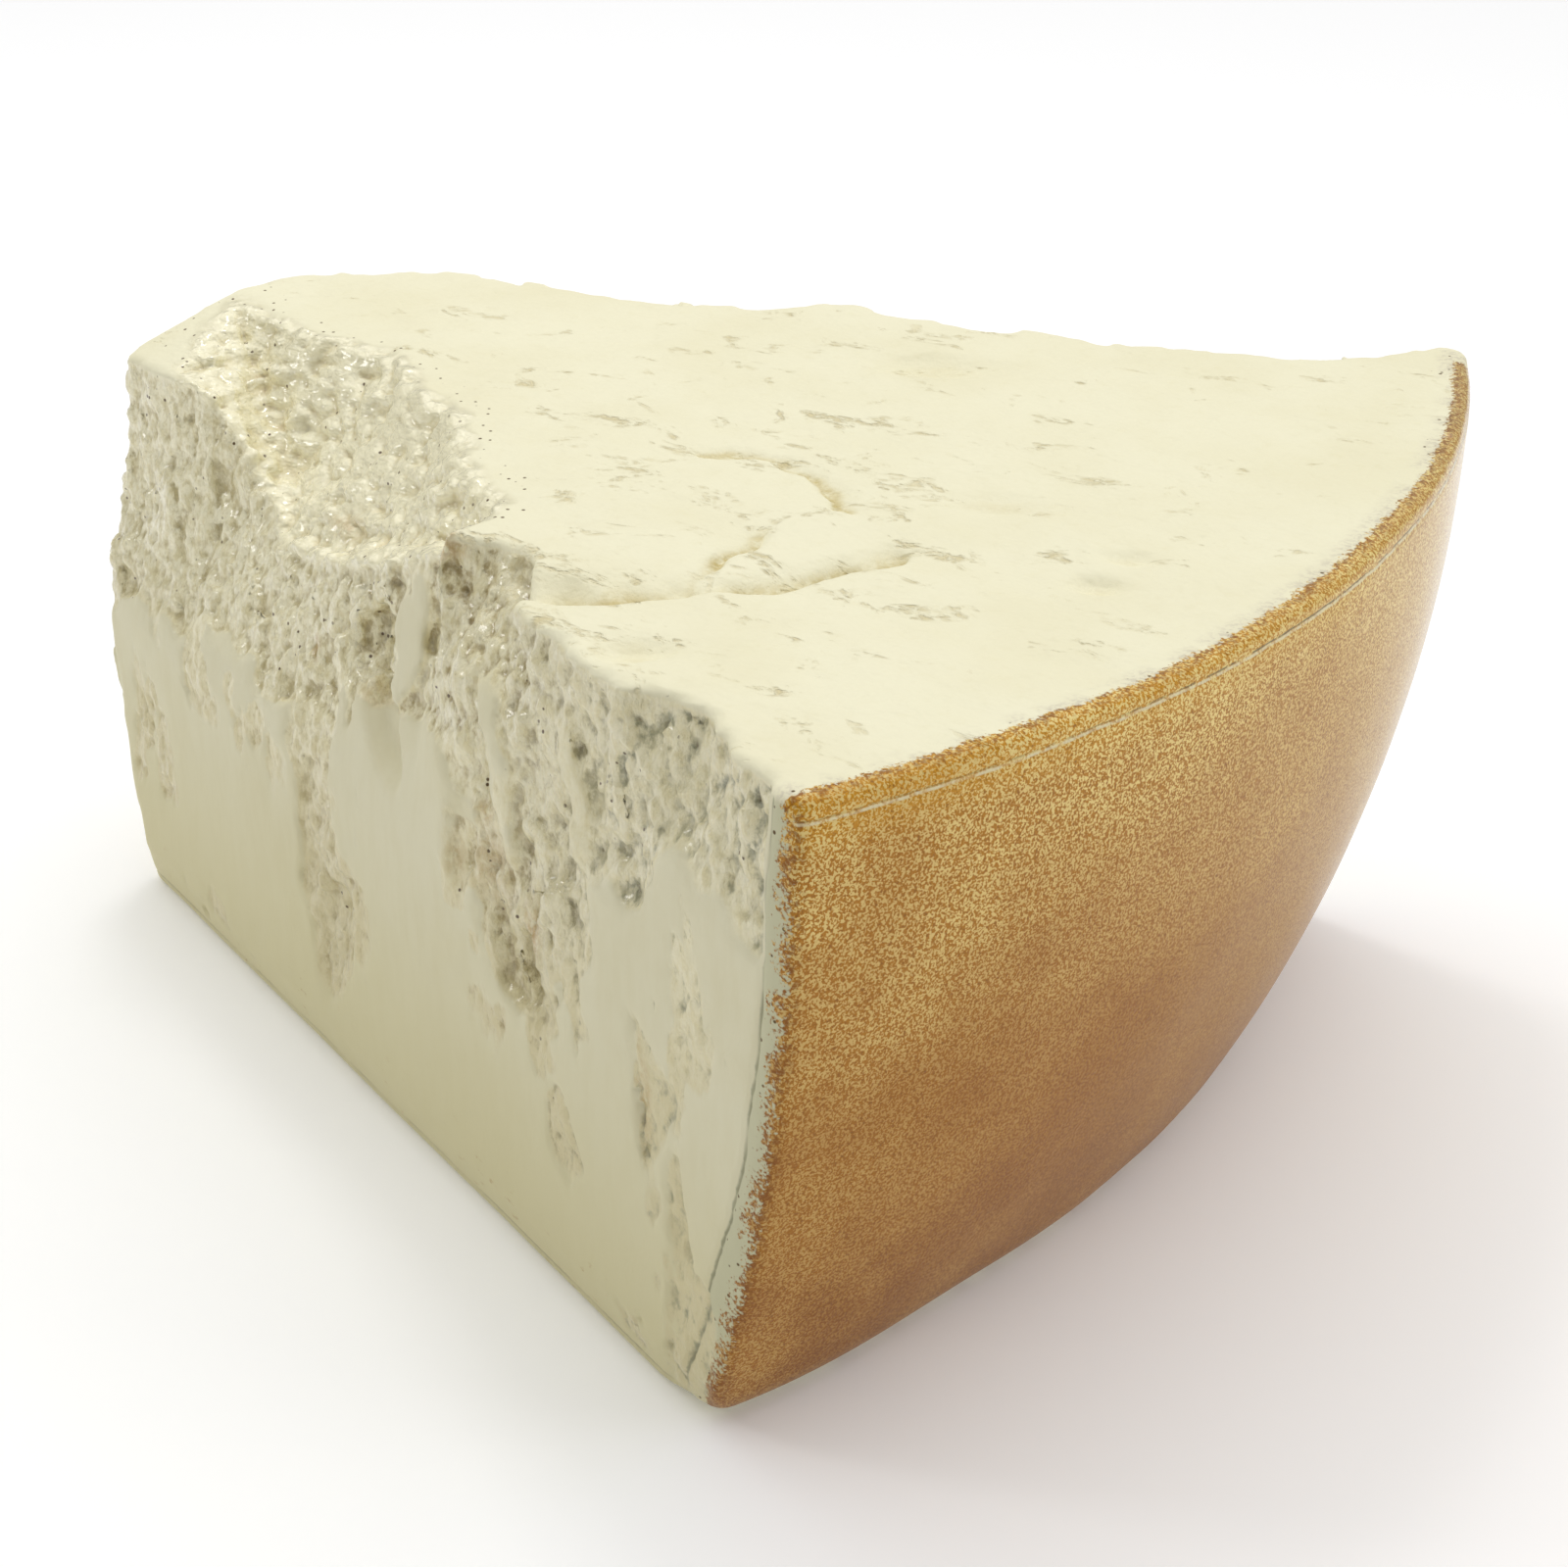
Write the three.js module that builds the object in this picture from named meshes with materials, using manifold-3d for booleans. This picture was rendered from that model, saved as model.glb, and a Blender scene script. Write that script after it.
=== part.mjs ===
// A chunk of a hard cheese wheel: a 51 degree wedge of half a wheel, with its flat top
// cut level, its rind on one side and its tip broken off. One closed solid, in
// millimetres, +Z up. It rests on the plane Z = 0 and +X points from the tip to the
// middle of the rind. The form is a function of space that is negative inside the
// cheese, worked out about the wheel's axis. A box is laid round the wedge, and each of
// its vertices is then moved straight in through its own face until that function is
// zero. The bowl beside the tip is cut from it, as a box whose underside is moved down
// to the bowl's floor and to the sloping top of the horn.

import * as THREE from 'three';
import { mergeVertices } from 'three/addons/utils/BufferGeometryUtils.js';
import Module from 'manifold-3d';

const wasm = await Module();
wasm.setup();

// ---- driving dimensions, in millimetres and degrees
const WHEEL_RADIUS = 225;
const CHUNK_HEIGHT = 103;
const WEDGE_ANGLE = 51.5;
const AXIS = [-115.17, -2.61]; // where the wheel's axis stands in the finished part
const FRONT_CUT_HEADING = 21.0; // heading of each cut from its rind corner to the tip
const BACK_CUT_HEADING = 21.6;
const RIND_TUCK = [16.5, 19.5]; // how far the rind curves in at the base, at the front and beyond
const RIND_TUCK_SPREAD = 0.3; // share of the rind over which the front passes into the rest
const RIND_TUCK_POWER = 2.2;
const BASE_EDGE = 8; // height of the rounded foot of the rind
const TIP_X = 4.2; // the outermost place of the broken tip, from the wheel's axis
// The tip's face at its front edge and further back: height, distance from the axis.
const TIP_FRONT = [[8, 11.2], [20, 8.2], [35, 7], [49, 4.2], [64, 4.2], [81, 6.8], [96, 8.6], [103, 11]];
const TIP_BACK = [[0, 9], [50, 7.5], [75, 8.5], [103, 13]];
const TIP_PLACES = [-28, 6]; // distances from the middle plane where these two hold
// The top of the horn between tip and bowl falls towards the front cut: it leaves the
// level top at a depth behind the cut and begins at a distance along it.
const HORN = { slope: 0.276, depth: 30, from: 172, fades: [160, 174] };

// edge radii, as blend widths of the smooth joins
const BLEND = { cut: 3, tip: 5, rind: 3, top: 2.2, foot: 7, base: 2 };

// The bowl broken out behind the front cut. Its wall falls from the rim, a line in plan
// as distance along the cut and depth behind it, with a slope of its own under each
// stretch, down to a floor given as distance along the cut and height.
const BOWL = {
  rim: [
    [94, -30], [94.8, 8.8], [97.7, 15.2], [102, 20.2], [110, 21.6], [120, 24.2],
    [134.4, 30.4], [144.5, 31.3], [159, 34.9], [170, 36], [180, 33],
    [188, 30.8], [199, 29.6], [209.2, 28.7], [199.5, 19.4], [191, 11.5],
    [183, 8.5], [172, 7], [176, -30],
  ],
  slopes: [5, 3, 1.8, 1.3, 1.2, 1.15, 1.15, 1.1, 1.1, 1.1, 1.15, 1.2, 1, 0.8, 0.8, 1, 1.8, 2.5],
  floor: [
    [94, 100], [106, 96], [110, 94], [122, 89.7], [129, 88], [144, 82.7], [162, 79],
    [175, 74], [190, 68],
  ],
  floorTilt: 0.1,
  floorFrom: 9, // depth at which the floor has the heights above
  outerSlope: 1.5,
  grain: [{ size: 11, height: 0.8, seed: 101 }, { size: 5.5, height: 0.5, seed: 103 }],
};

// Stretches where the top edge of the front cut is broken back.
const EDGE_BREAKS = [
  { along: 28, width: 8, depth: 5 },
  { along: 84, width: 13, depth: 11.5 },
];
const EDGE_BREAK_DROP = 24; // how far down a break runs out
const EDGE_WEAR = 0.8;
const FOOT_DRAFT = { height: 9, depth: 2.3 }; // the cut leans in below this height

// The front cut leans back towards the top: height and depth where it leans fully, then
// distance along the cut and the share of that depth.
const LEAN = [[54, 0], [60, 0.7], [66, 2.2], [76, 5], [86, 7.2], [96, 8.2], [103, 8.6]];
const LEAN_SHARE = [
  [86, 0], [92, 0.3], [97, 0.75], [110, 0.8], [125, 0.95], [144, 1.25], [155, 1.5],
  [166, 1.75], [174, 1.7], [184, 1.3], [194, 0.95], [203, 0.75], [215, 0.65],
];
// Hollows in the front cut: centre along it and height, half sizes, turn, depth.
const HOLLOWS = [
  { at: [117, 79], half: [8.5, 5.5], turn: -0.7, depth: 4 },
  { at: [108.5, 68.5], half: [6.5, 5.5], turn: 0, depth: 2.4 },
  { at: [81.5, 63], half: [4.5, 9], turn: 0.2, depth: 1.6 },
  { at: [63.5, 51], half: [2.6, 7.5], turn: -0.2, depth: 1.8 },
];

// Both cuts keep a whole edge at the rind over this distance along them.
const WHOLE_CORNER = [1, 7];
// Lower limit of the crumbly band on the front cut: distance along the cut, height.
const CRUMB_LINE = [
  [-5, 86], [25, 84], [32, 78], [45, 74], [60, 70], [84, 72], [95, 76],
  [118, 72], [122, 64], [150, 60], [175, 60], [215, 50],
];
// Crumbly tongues below that band: centre, half sizes, turn and strength.
const CRUMB_PATCHES = [
  { at: [64, 64], half: [17, 22], turn: 0.35, full: 0.75, strength: 1 },
  { at: [129, 40], half: [9.5, 30], turn: -0.12, full: 0.7, strength: 0.85 },
  { at: [55, 30], half: [6, 9], turn: 0, full: 0.7, strength: 0.6 },
  { at: [22, 15], half: [8, 12], turn: 0, full: 0.7, strength: 0.5 },
  { at: [33, 48], half: [4, 13], turn: -0.1, full: 0.6, strength: 0.5 },
  { at: [26, 30], half: [3.5, 12], turn: 0, full: 0.6, strength: 0.5 },
];

// The hidden cut at the back: swells (positive) and hollows along it, and its crumbly band.
const BACK_WAVES = [
  { along: 4, width: 12, rise: 7.5 },
  { along: 42, width: 26, rise: -4 },
  { along: 75, width: 14, rise: -0.6 },
  { along: 106, width: 9, rise: 5.2 },
  { along: 125, width: 55, rise: 1.8 },
  { along: 174, width: 15, rise: 7.4 },
];
const BACK_CRUMB_HEIGHT = 70;

// Cracks in the top: points in plan, from the wheel's axis; depth and half width.
const TOP_CRACKS = [
  { path: [[139, -64], [147, -62], [155, -54], [163, -45], [171, -28]], depth: 2.2, width: 2.4 },
  { path: [[154, -52], [152, -41], [152, -32]], depth: 1.3, width: 1.8 },
  { path: [[128, -9], [137, -5], [143, -8], [155, -16]], depth: 1.2, width: 1.8 },
];
// Shallow dents in the top: centre, half sizes, turn, depth.
const TOP_DENTS = [
  { at: [134, 45], half: [13, 7], turn: 0.5, depth: 1.6 },
  { at: [140, -62], half: [8, 6], turn: 0, depth: 2.0 },
  { at: [162, -73], half: [7, 4], turn: 0.8, depth: 1.2 },
  { at: [199, -19], half: [5, 3.5], turn: 0.4, depth: 1.3 },
  { at: [198, -9], half: [5, 3], turn: 0.4, depth: 0.9 },
  { at: [173, -2], half: [14, 6], turn: 0.3, depth: 0.8 },
];

// ---- mesh: segments from tip to rind, front to back and base to top
const SEGMENTS = [48, 17, 23];
const CROWD = [1.1, 1.0, 1.2]; // above 1 crowds the segments to tip, front and top
// The box that is cut away: its extent along the cut, in depth and in height, and its cells.
const BITE = { along: [91, 227], depth: [-14, 41], head: 112, above: 12, cells: [66, 26] };
const SKIN = 1.0; // the outline at the top and at the base is taken this far inside
const SEARCH = { out: 12, reach: 90, step: 0.5, halvings: 16 };

// ---- small helpers
const radians = (degrees) => (degrees * Math.PI) / 180;
const clamp01 = (t) => Math.min(1, Math.max(0, t));
const bell = (x, centre, width) => Math.exp(-(((x - centre) / width) ** 2));
const lerp = (a, b, t) => a + (b - a) * t;

function ramp(from, to, x) {
  const t = clamp01((x - from) / (to - from));
  return t * t * (3 - 2 * t);
}

/** Larger of two distances, joined over a width. */
function smoothMax(a, b, width) {
  const h = Math.max(width - Math.abs(a - b), 0) / width;
  return Math.max(a, b) + h * h * width * 0.25;
}

/** Height of a line of points at x. */
function heightAt(points, x) {
  if (x <= points[0][0]) return points[0][1];
  for (let i = 1; i < points.length; i += 1) {
    const [x0, y0] = points[i - 1];
    const [x1, y1] = points[i];
    if (x <= x1) return lerp(y0, y1, (x - x0) / (x1 - x0));
  }
  return points[points.length - 1][1];
}

/** Distance from the centre of a turned ellipse, 1 on its rim. */
function ellipse(x, y, { at, half, turn }) {
  const c = Math.cos(turn);
  const s = Math.sin(turn);
  const a = (x - at[0]) * c + (y - at[1]) * s;
  const b = -(x - at[0]) * s + (y - at[1]) * c;
  return Math.hypot(a / half[0], b / half[1]);
}

function distanceToPath(x, y, path) {
  let best = Infinity;
  for (let i = 1; i < path.length; i += 1) {
    const [ax, ay] = path[i - 1];
    const dx = path[i][0] - ax;
    const dy = path[i][1] - ay;
    const t = clamp01(((x - ax) * dx + (y - ay) * dy) / (dx * dx + dy * dy));
    best = Math.min(best, Math.hypot(x - ax - t * dx, y - ay - t * dy));
  }
  return best;
}

// ---- seeded noise: the same numbers on every run
function hash01(ix, iy, iz, seed) {
  let h = Math.imul(ix, 0x8da6b343) ^ Math.imul(iy, 0xd8163841) ^ Math.imul(iz, 0xcb1ab31f);
  h ^= Math.imul(seed, 0x9e3779b1);
  h = Math.imul(h ^ (h >>> 15), 0x2c1b3c6d);
  h = Math.imul(h ^ (h >>> 12), 0x297a2d39);
  return ((h ^ (h >>> 15)) >>> 0) / 4294967296;
}

const fade = (t) => t * t * t * (t * (t * 6 - 15) + 10);

/** Smooth noise from -1 to 1. */
function noise(x, y, z, seed) {
  const [ix, iy, iz] = [Math.floor(x), Math.floor(y), Math.floor(z)];
  const [u, v, w] = [fade(x - ix), fade(y - iy), fade(z - iz)];
  let sum = 0;
  for (let corner = 0; corner < 8; corner += 1) {
    const [a, b, c] = [corner & 1, (corner >> 1) & 1, corner >> 2];
    const weight = (a ? u : 1 - u) * (b ? v : 1 - v) * (c ? w : 1 - w);
    sum += weight * hash01(ix + a, iy + b, iz + c, seed);
  }
  return sum * 2 - 1;
}

/** Two octaves of smooth noise of a given size. */
function ripple(x, y, z, size, seed) {
  const k = 1 / size;
  const first = noise(x * k, y * k, z * k, seed);
  const k2 = k * 2.03;
  return (first + 0.5 * noise(x * k2 + 17.3, y * k2 - 9.1, z * k2 + 5.7, seed + 1)) / 1.5;
}

/** Broken facets: each cell is a tilted plane, softly joined to its neighbours. */
function crag(px, py, pz, size, seed) {
  const sharpness = 14;
  const [x, y, z] = [px / size, py / size, pz / size];
  const [fx, fy, fz] = [Math.floor(x - 0.5), Math.floor(y - 0.5), Math.floor(z - 0.5)];
  let sum = 0;
  let total = 0;
  for (let corner = 0; corner < 8; corner += 1) {
    const [cx, cy, cz] = [fx + (corner & 1), fy + ((corner >> 1) & 1), fz + (corner >> 2)];
    const h = [0, 1, 2].map((k) => hash01(cx, cy, cz, seed + k));
    const d = [x - cx, y - cy, z - cz].map((q, k) => q - 0.5 - (h[k] - 0.5) * 0.8);
    const weight = Math.exp(-sharpness * (d[0] * d[0] + d[1] * d[1] + d[2] * d[2]));
    const tilt = d.reduce((acc, q, k) => acc + q * (((h[k] * 7.13) % 1) * 2 - 1), 0);
    const level = (((h[0] + h[1] + h[2]) * 5.77) % 1) * 2 - 1;
    sum += weight * (0.6 * level + tilt);
    total += weight;
  }
  return sum / (total + 1e-12);
}

// ---- places on the two cuts
function cutFrame(side, heading) {
  const half = radians(WEDGE_ANGLE / 2);
  const corner = [WHEEL_RADIUS * Math.cos(half), side * WHEEL_RADIUS * Math.sin(half)];
  const h = radians(heading);
  return { corner, along: [-Math.cos(h), -side * Math.sin(h)], out: [-Math.sin(h), side * Math.cos(h)] };
}
const FRONT = cutFrame(-1, FRONT_CUT_HEADING);
const BACK = cutFrame(1, BACK_CUT_HEADING);

/** Distance along a cut from the rind corner, and depth behind it. */
function onCut(frame, x, y) {
  const dx = x - frame.corner[0];
  const dy = y - frame.corner[1];
  return [dx * frame.along[0] + dy * frame.along[1], -(dx * frame.out[0] + dy * frame.out[1])];
}

// ---- the faces, each as a distance that is positive outside
/** How crumbly the front cut is, 0 to 1. */
function crumbliness(x, y, z, along) {
  const level = z + 7 * ripple(x, y, z, 14, 11) + 2.5 * ripple(x, y, z, 6, 13);
  const shifted = along + 6 * ripple(x, y, z, 12, 17);
  let crumb = ramp(-3, 3, level - heightAt(CRUMB_LINE, along)) * ramp(...WHOLE_CORNER, along);
  for (const patch of CRUMB_PATCHES) {
    crumb = Math.max(crumb, patch.strength * (1 - ramp(patch.full, 1.1, ellipse(shifted, level, patch))));
  }
  return crumb;
}

/** How far the front cut is worn back at a place. */
function frontRelief(x, y, z, along) {
  let edge = EDGE_WEAR;
  for (const b of EDGE_BREAKS) edge += b.depth * bell(along, b.along, b.width);
  const top = CHUNK_HEIGHT - EDGE_BREAK_DROP;
  const lean = heightAt(LEAN, z) * heightAt(LEAN_SHARE, along);
  let depth = Math.max(edge * ramp(0, 1, (z - top) / EDGE_BREAK_DROP) ** 1.3, lean);
  const flakes = 1.1 + 1.6 * crag(x, y, z * 0.55, 9, 31) + 0.9 * crag(x, y, z * 0.7, 4.2, 37);
  depth += crumbliness(x, y, z, along) * flakes;
  for (const h of HOLLOWS) depth += h.depth * (1 - ramp(0.35, 1.1, ellipse(along, z, h)));
  depth += FOOT_DRAFT.depth * clamp01(1 - z / FOOT_DRAFT.height);
  return depth + 0.35 * ripple(x, y, z, 30, 41) + 0.25;
}

function backRelief(x, y, z, along) {
  let wave = 0;
  for (const w of BACK_WAVES) wave += w.rise * bell(along, w.along, w.width);
  const band = ramp(-3, 3, z - BACK_CRUMB_HEIGHT + 14 * ripple(x, y, z, 16, 81));
  const crumb = band * ramp(...WHOLE_CORNER, along);
  const flakes = 1 + 1.8 * crag(x, y, z * 0.6, 10, 83) + 0.9 * crag(x, y, z * 0.7, 4.5, 87);
  return crumb * flakes - wave * ramp(40, 100, z);
}

function topHeight(x, y) {
  let height = CHUNK_HEIGHT + 0.7 * ripple(x, y, 0, 34, 61) + 0.28 * ripple(x, y, 0, 11, 67);
  for (const c of TOP_CRACKS) height -= c.depth * bell(distanceToPath(x, y, c.path), 0, c.width);
  for (const d of TOP_DENTS) height -= d.depth * (1 - ramp(0.2, 1.1, ellipse(x, y, d)));
  return height;
}

/** Radius of the rind at a height and a bearing from the wheel's axis. */
function rindRadius(z, bearing) {
  const t = Math.max(0, (CHUNK_HEIGHT - z) / (CHUNK_HEIGHT - BASE_EDGE));
  const tuck = lerp(...RIND_TUCK, ramp(0, RIND_TUCK_SPREAD, 0.5 + bearing / radians(WEDGE_ANGLE)));
  return WHEEL_RADIUS - tuck * Math.min(t, 1.1) ** RIND_TUCK_POWER;
}

function tipX(x, y, z) {
  const face = lerp(heightAt(TIP_FRONT, z), heightAt(TIP_BACK, z), ramp(...TIP_PLACES, y));
  return face + 1.6 * ripple(x, y, z, 22, 91) + 1.2 * crag(x, y, z, 9, 95);
}

/** Whether a place in plan lies inside the rim of the bowl. */
function insideRim(along, depth) {
  let odd = false;
  BOWL.rim.forEach(([ax, ay], i) => {
    const [bx, by] = BOWL.rim[(i + 1) % BOWL.rim.length];
    const crosses = depth < ay !== depth < by;
    if (crosses && along < ax + ((depth - ay) / (by - ay)) * (bx - ax)) odd = !odd;
  });
  return odd;
}

const hornFacet = (depth) => CHUNK_HEIGHT - HORN.slope * (HORN.depth - depth);

/** Distance above the wall and floor of the bowl, positive in it. */
function bowlDistance(x, y, z) {
  const [along, depth] = onCut(FRONT, x, y);
  const top = Math.min(CHUNK_HEIGHT, lerp(CHUNK_HEIGHT, hornFacet(depth), ramp(...HORN.fades, along)));
  let drop = Infinity;
  let slope = 1;
  BOWL.slopes.forEach((steep, i) => {
    const fall = steep * distanceToPath(along, depth, BOWL.rim.slice(i, i + 2));
    if (fall < drop) [drop, slope] = [fall, steep];
  });
  if (!insideRim(along, depth)) [drop, slope] = [(-BOWL.outerSlope / slope) * drop, BOWL.outerSlope];
  const wall = (z - top + drop) / Math.hypot(1, slope);
  const floor = z - heightAt(BOWL.floor, along) - BOWL.floorTilt * (depth - BOWL.floorFrom);
  const grain = BOWL.grain.reduce((sum, g) => sum + g.height * crag(x, y, z, g.size, g.seed), 0);
  return Math.min(wall, floor) - grain;
}

/** Positive in what is broken out above the bowl and above the horn. */
function openAbove(x, y, z) {
  const [along, depth] = onCut(FRONT, x, y);
  return Math.max(bowlDistance(x, y, z), Math.min(z - hornFacet(depth), along - HORN.from));
}

/** The chunk before the bowl is cut: negative inside, zero on its surface. */
function chunk(x, y, z) {
  const [along, depth] = onCut(FRONT, x, y);
  const [alongBack, depthBack] = onCut(BACK, x, y);
  const rind = Math.hypot(x, y) - rindRadius(z, Math.atan2(y, x)) + 0.25 * ripple(x, y, z, 25, 71);
  const front = frontRelief(x, y, z, along) - depth;
  const back = backRelief(x, y, z, alongBack) - depthBack;
  let d = smoothMax(front, back, BLEND.cut);
  d = smoothMax(d, tipX(x, y, z) - x, BLEND.tip);
  d = smoothMax(d, rind, BLEND.rind);
  d = smoothMax(d, z - topHeight(x, y), BLEND.top);
  return smoothMax(d, -z, lerp(BLEND.base, BLEND.foot, ramp(-14, -4, rind)));
}

// ---- the mesh
const FACE_IN = {
  front: [-FRONT.out[0], -FRONT.out[1]],
  back: [-BACK.out[0], -BACK.out[1]],
  tip: [1, 0],
};

/** The first place on a line where a distance is no longer positive. */
function firstInside(start, direction, distance = chunk) {
  const at = (t) => start.map((q, k) => q + direction[k] * t);
  let outside = 0;
  while (outside < SEARCH.reach && distance(...at(outside + SEARCH.step)) > 0) outside += SEARCH.step;
  let inside = outside + SEARCH.step;
  for (let i = 0; i < SEARCH.halvings; i += 1) {
    const middle = (inside + outside) / 2;
    if (distance(...at(middle)) > 0) outside = middle;
    else inside = middle;
  }
  return at(inside);
}

/** Moves a place at height z level inwards, starting well outside. */
function levelIn(plan, z, direction) {
  const size = Math.hypot(...direction);
  const [dx, dy] = direction.map((q) => q / size);
  return firstInside([plan[0] - dx * SEARCH.out, plan[1] - dy * SEARCH.out, z], [dx, dy, 0]);
}

const toAxis = ([x, y]) => [-x, -y];
const add = (a, b) => a.map((q, k) => q + b[k]);

/** The four upright edges at a height: tip and rind ends of the front and the back cut. */
function corners(z) {
  const ends = [FRONT, BACK].map((cut, side) => {
    const [cx, cy] = cut.corner;
    const radius = rindRadius(z, Math.atan2(cy, cx));
    const half = cx * cut.along[0] + cy * cut.along[1];
    const along = -half - Math.sqrt(half * half - cx * cx - cy * cy + radius * radius);
    const rind = add(cut.corner, cut.along.map((q) => q * along));
    const reach = (cut.corner[0] - TIP_X) / -cut.along[0];
    const tip = add(cut.corner, cut.along.map((q) => q * reach));
    const inward = side ? FACE_IN.back : FACE_IN.front;
    const fromRind = add(inward.map((q) => q * radius), toAxis(rind));
    return [levelIn(tip, z, add(inward, FACE_IN.tip)), levelIn(rind, z, fromRind)];
  });
  return { front: ends[0], back: ends[1] };
}

/** A place on the outline at a height, for fractions from tip to rind and front to back. */
function outline(u, v, z, edge) {
  const between = (a, b, t) => [lerp(a[0], b[0], t), lerp(a[1], b[1], t)];
  if ((u === 0 || u === 1) && (v === 0 || v === 1)) return (v ? edge.back : edge.front)[u];
  if (v === 0) return levelIn(between(edge.front[0], edge.front[1], u), z, FACE_IN.front);
  if (v === 1) return levelIn(between(edge.back[0], edge.back[1], u), z, FACE_IN.back);
  if (u === 0) return levelIn(between(edge.front[0], edge.back[0], v), z, FACE_IN.tip);
  const angle = [edge.front[1], edge.back[1]].map(([x, y]) => Math.atan2(y, x));
  const turn = lerp(angle[0], angle[1], v);
  const rim = [WHEEL_RADIUS * Math.cos(turn), WHEEL_RADIUS * Math.sin(turn)];
  return levelIn(rim, z, toAxis(rim));
}

/** A place in plan inside an outline, blended from its four sides. */
function acrossOutline(u, v, z, edge) {
  const side = (a, b) => outline(a, b, z, edge);
  const [f, b, t, r] = [side(u, 0), side(u, 1), side(0, v), side(1, v)];
  const blend = (k) => (1 - v) * f[k] + v * b[k] + (1 - u) * t[k] + u * r[k]
    - lerp(lerp(edge.front[0][k], edge.front[1][k], u), lerp(edge.back[0][k], edge.back[1][k], u), v);
  return [blend(0), blend(1)];
}

/** The place on the surface for fractions from tip to rind, front to back and base to top. */
function surfacePlace(u, v, w, edges) {
  const z = lerp(SKIN, CHUNK_HEIGHT - SKIN, w);
  const edge = edges(z);
  const rimmed = u === 0 || u === 1 || v === 0 || v === 1;
  if (rimmed) {
    const [x, y] = outline(u, v, z, edge);
    return [x, y, w === 0 ? 0 : z];
  }
  const [x, y] = acrossOutline(u, v, z, edge);
  if (w === 0) return [x, y, 0];
  return firstInside([x, y, CHUNK_HEIGHT + SEARCH.out / 2], [0, 0, -1]);
}

/** A geometry class's mesh with its vertices merged and nothing but positions. */
function bare(geometry) {
  geometry.deleteAttribute('normal');
  geometry.deleteAttribute('uv');
  return mergeVertices(geometry);
}

function wedgeGeometry() {
  const geometry = bare(new THREE.BoxGeometry(1, 1, 1, ...SEGMENTS));
  const position = geometry.getAttribute('position');
  const known = new Map();
  const edges = (z) => {
    if (!known.has(z)) known.set(z, corners(z));
    return known.get(z);
  };
  for (let i = 0; i < position.count; i += 1) {
    const u = (position.getX(i) + 0.5) ** CROWD[0];
    const v = (position.getY(i) + 0.5) ** CROWD[1];
    const w = 1 - (0.5 - position.getZ(i)) ** CROWD[2];
    position.setXYZ(i, ...surfacePlace(u, v, w, edges));
  }
  return geometry;
}

/** A place from distance along the front cut, depth behind it and height. */
function fromCut(along, depth, z) {
  const plan = [0, 1].map((k) => FRONT.corner[k] + FRONT.along[k] * along - FRONT.out[k] * depth);
  return [...plan, z];
}

/** What is broken out: a box whose underside is the floor of the bowl and the horn's top. */
function biteGeometry() {
  const geometry = bare(new THREE.BoxGeometry(1, 1, 1, ...BITE.cells, 1));
  const position = geometry.getAttribute('position');
  for (let i = 0; i < position.count; i += 1) {
    const along = lerp(...BITE.along, 0.5 - position.getX(i));
    const depth = lerp(...BITE.depth, position.getY(i) + 0.5);
    const head = fromCut(along, depth, BITE.head);
    const place = position.getZ(i) < 0 ? firstInside(head, [0, 0, -1], openAbove) : head;
    if (position.getZ(i) > 0) place[2] += BITE.above;
    position.setXYZ(i, ...place);
  }
  return geometry;
}

// ---- cutting
function toSolid(geometry) {
  const vertProperties = new Float32Array(geometry.getAttribute('position').array);
  const triVerts = new Uint32Array(geometry.getIndex().array);
  return new wasm.Manifold(new wasm.Mesh({ numProp: 3, vertProperties, triVerts }));
}

function toGeometry(solid) {
  const { vertProperties, triVerts } = solid.getMesh();
  const geometry = new THREE.BufferGeometry();
  geometry.setAttribute('position', new THREE.Float32BufferAttribute(vertProperties, 3));
  geometry.setIndex(Array.from(triVerts));
  return geometry;
}

/** The wedge without its bowl, moved so that the middle of its outline is over the origin. */
function chunkGeometry() {
  const geometry = toGeometry(toSolid(wedgeGeometry()).subtract(toSolid(biteGeometry())));
  geometry.translate(...AXIS, 0);
  geometry.computeVertexNormals();
  return geometry;
}

const paste = new THREE.MeshStandardMaterial({ color: 0xf1e9cd, roughness: 0.42, metalness: 0 });
const chunkMesh = new THREE.Mesh(chunkGeometry(), paste);
chunkMesh.name = 'parmesan_chunk';

const model = new THREE.Group();
model.name = 'parmesan_chunk_model';
model.add(chunkMesh);
export default model;
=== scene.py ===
"""Dresses the parmesan chunk and sets it on a pale studio floor.

The chunk is one piece. Its surface is found as the zero level of a form, a function of
space that is negative inside, and is then worked over with the fine grain of the
crumbled faces. Lengths are in millimetres until the mesh is made; Blender has metres.
The form and the zones count from the wheel's axis, the shaders from the part's origin.
"""

import logging
import math
from collections.abc import Callable
from dataclasses import dataclass, field
from enum import Enum
from typing import Any

import bpy
import numpy as np
from mathutils import Matrix, Vector

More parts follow.
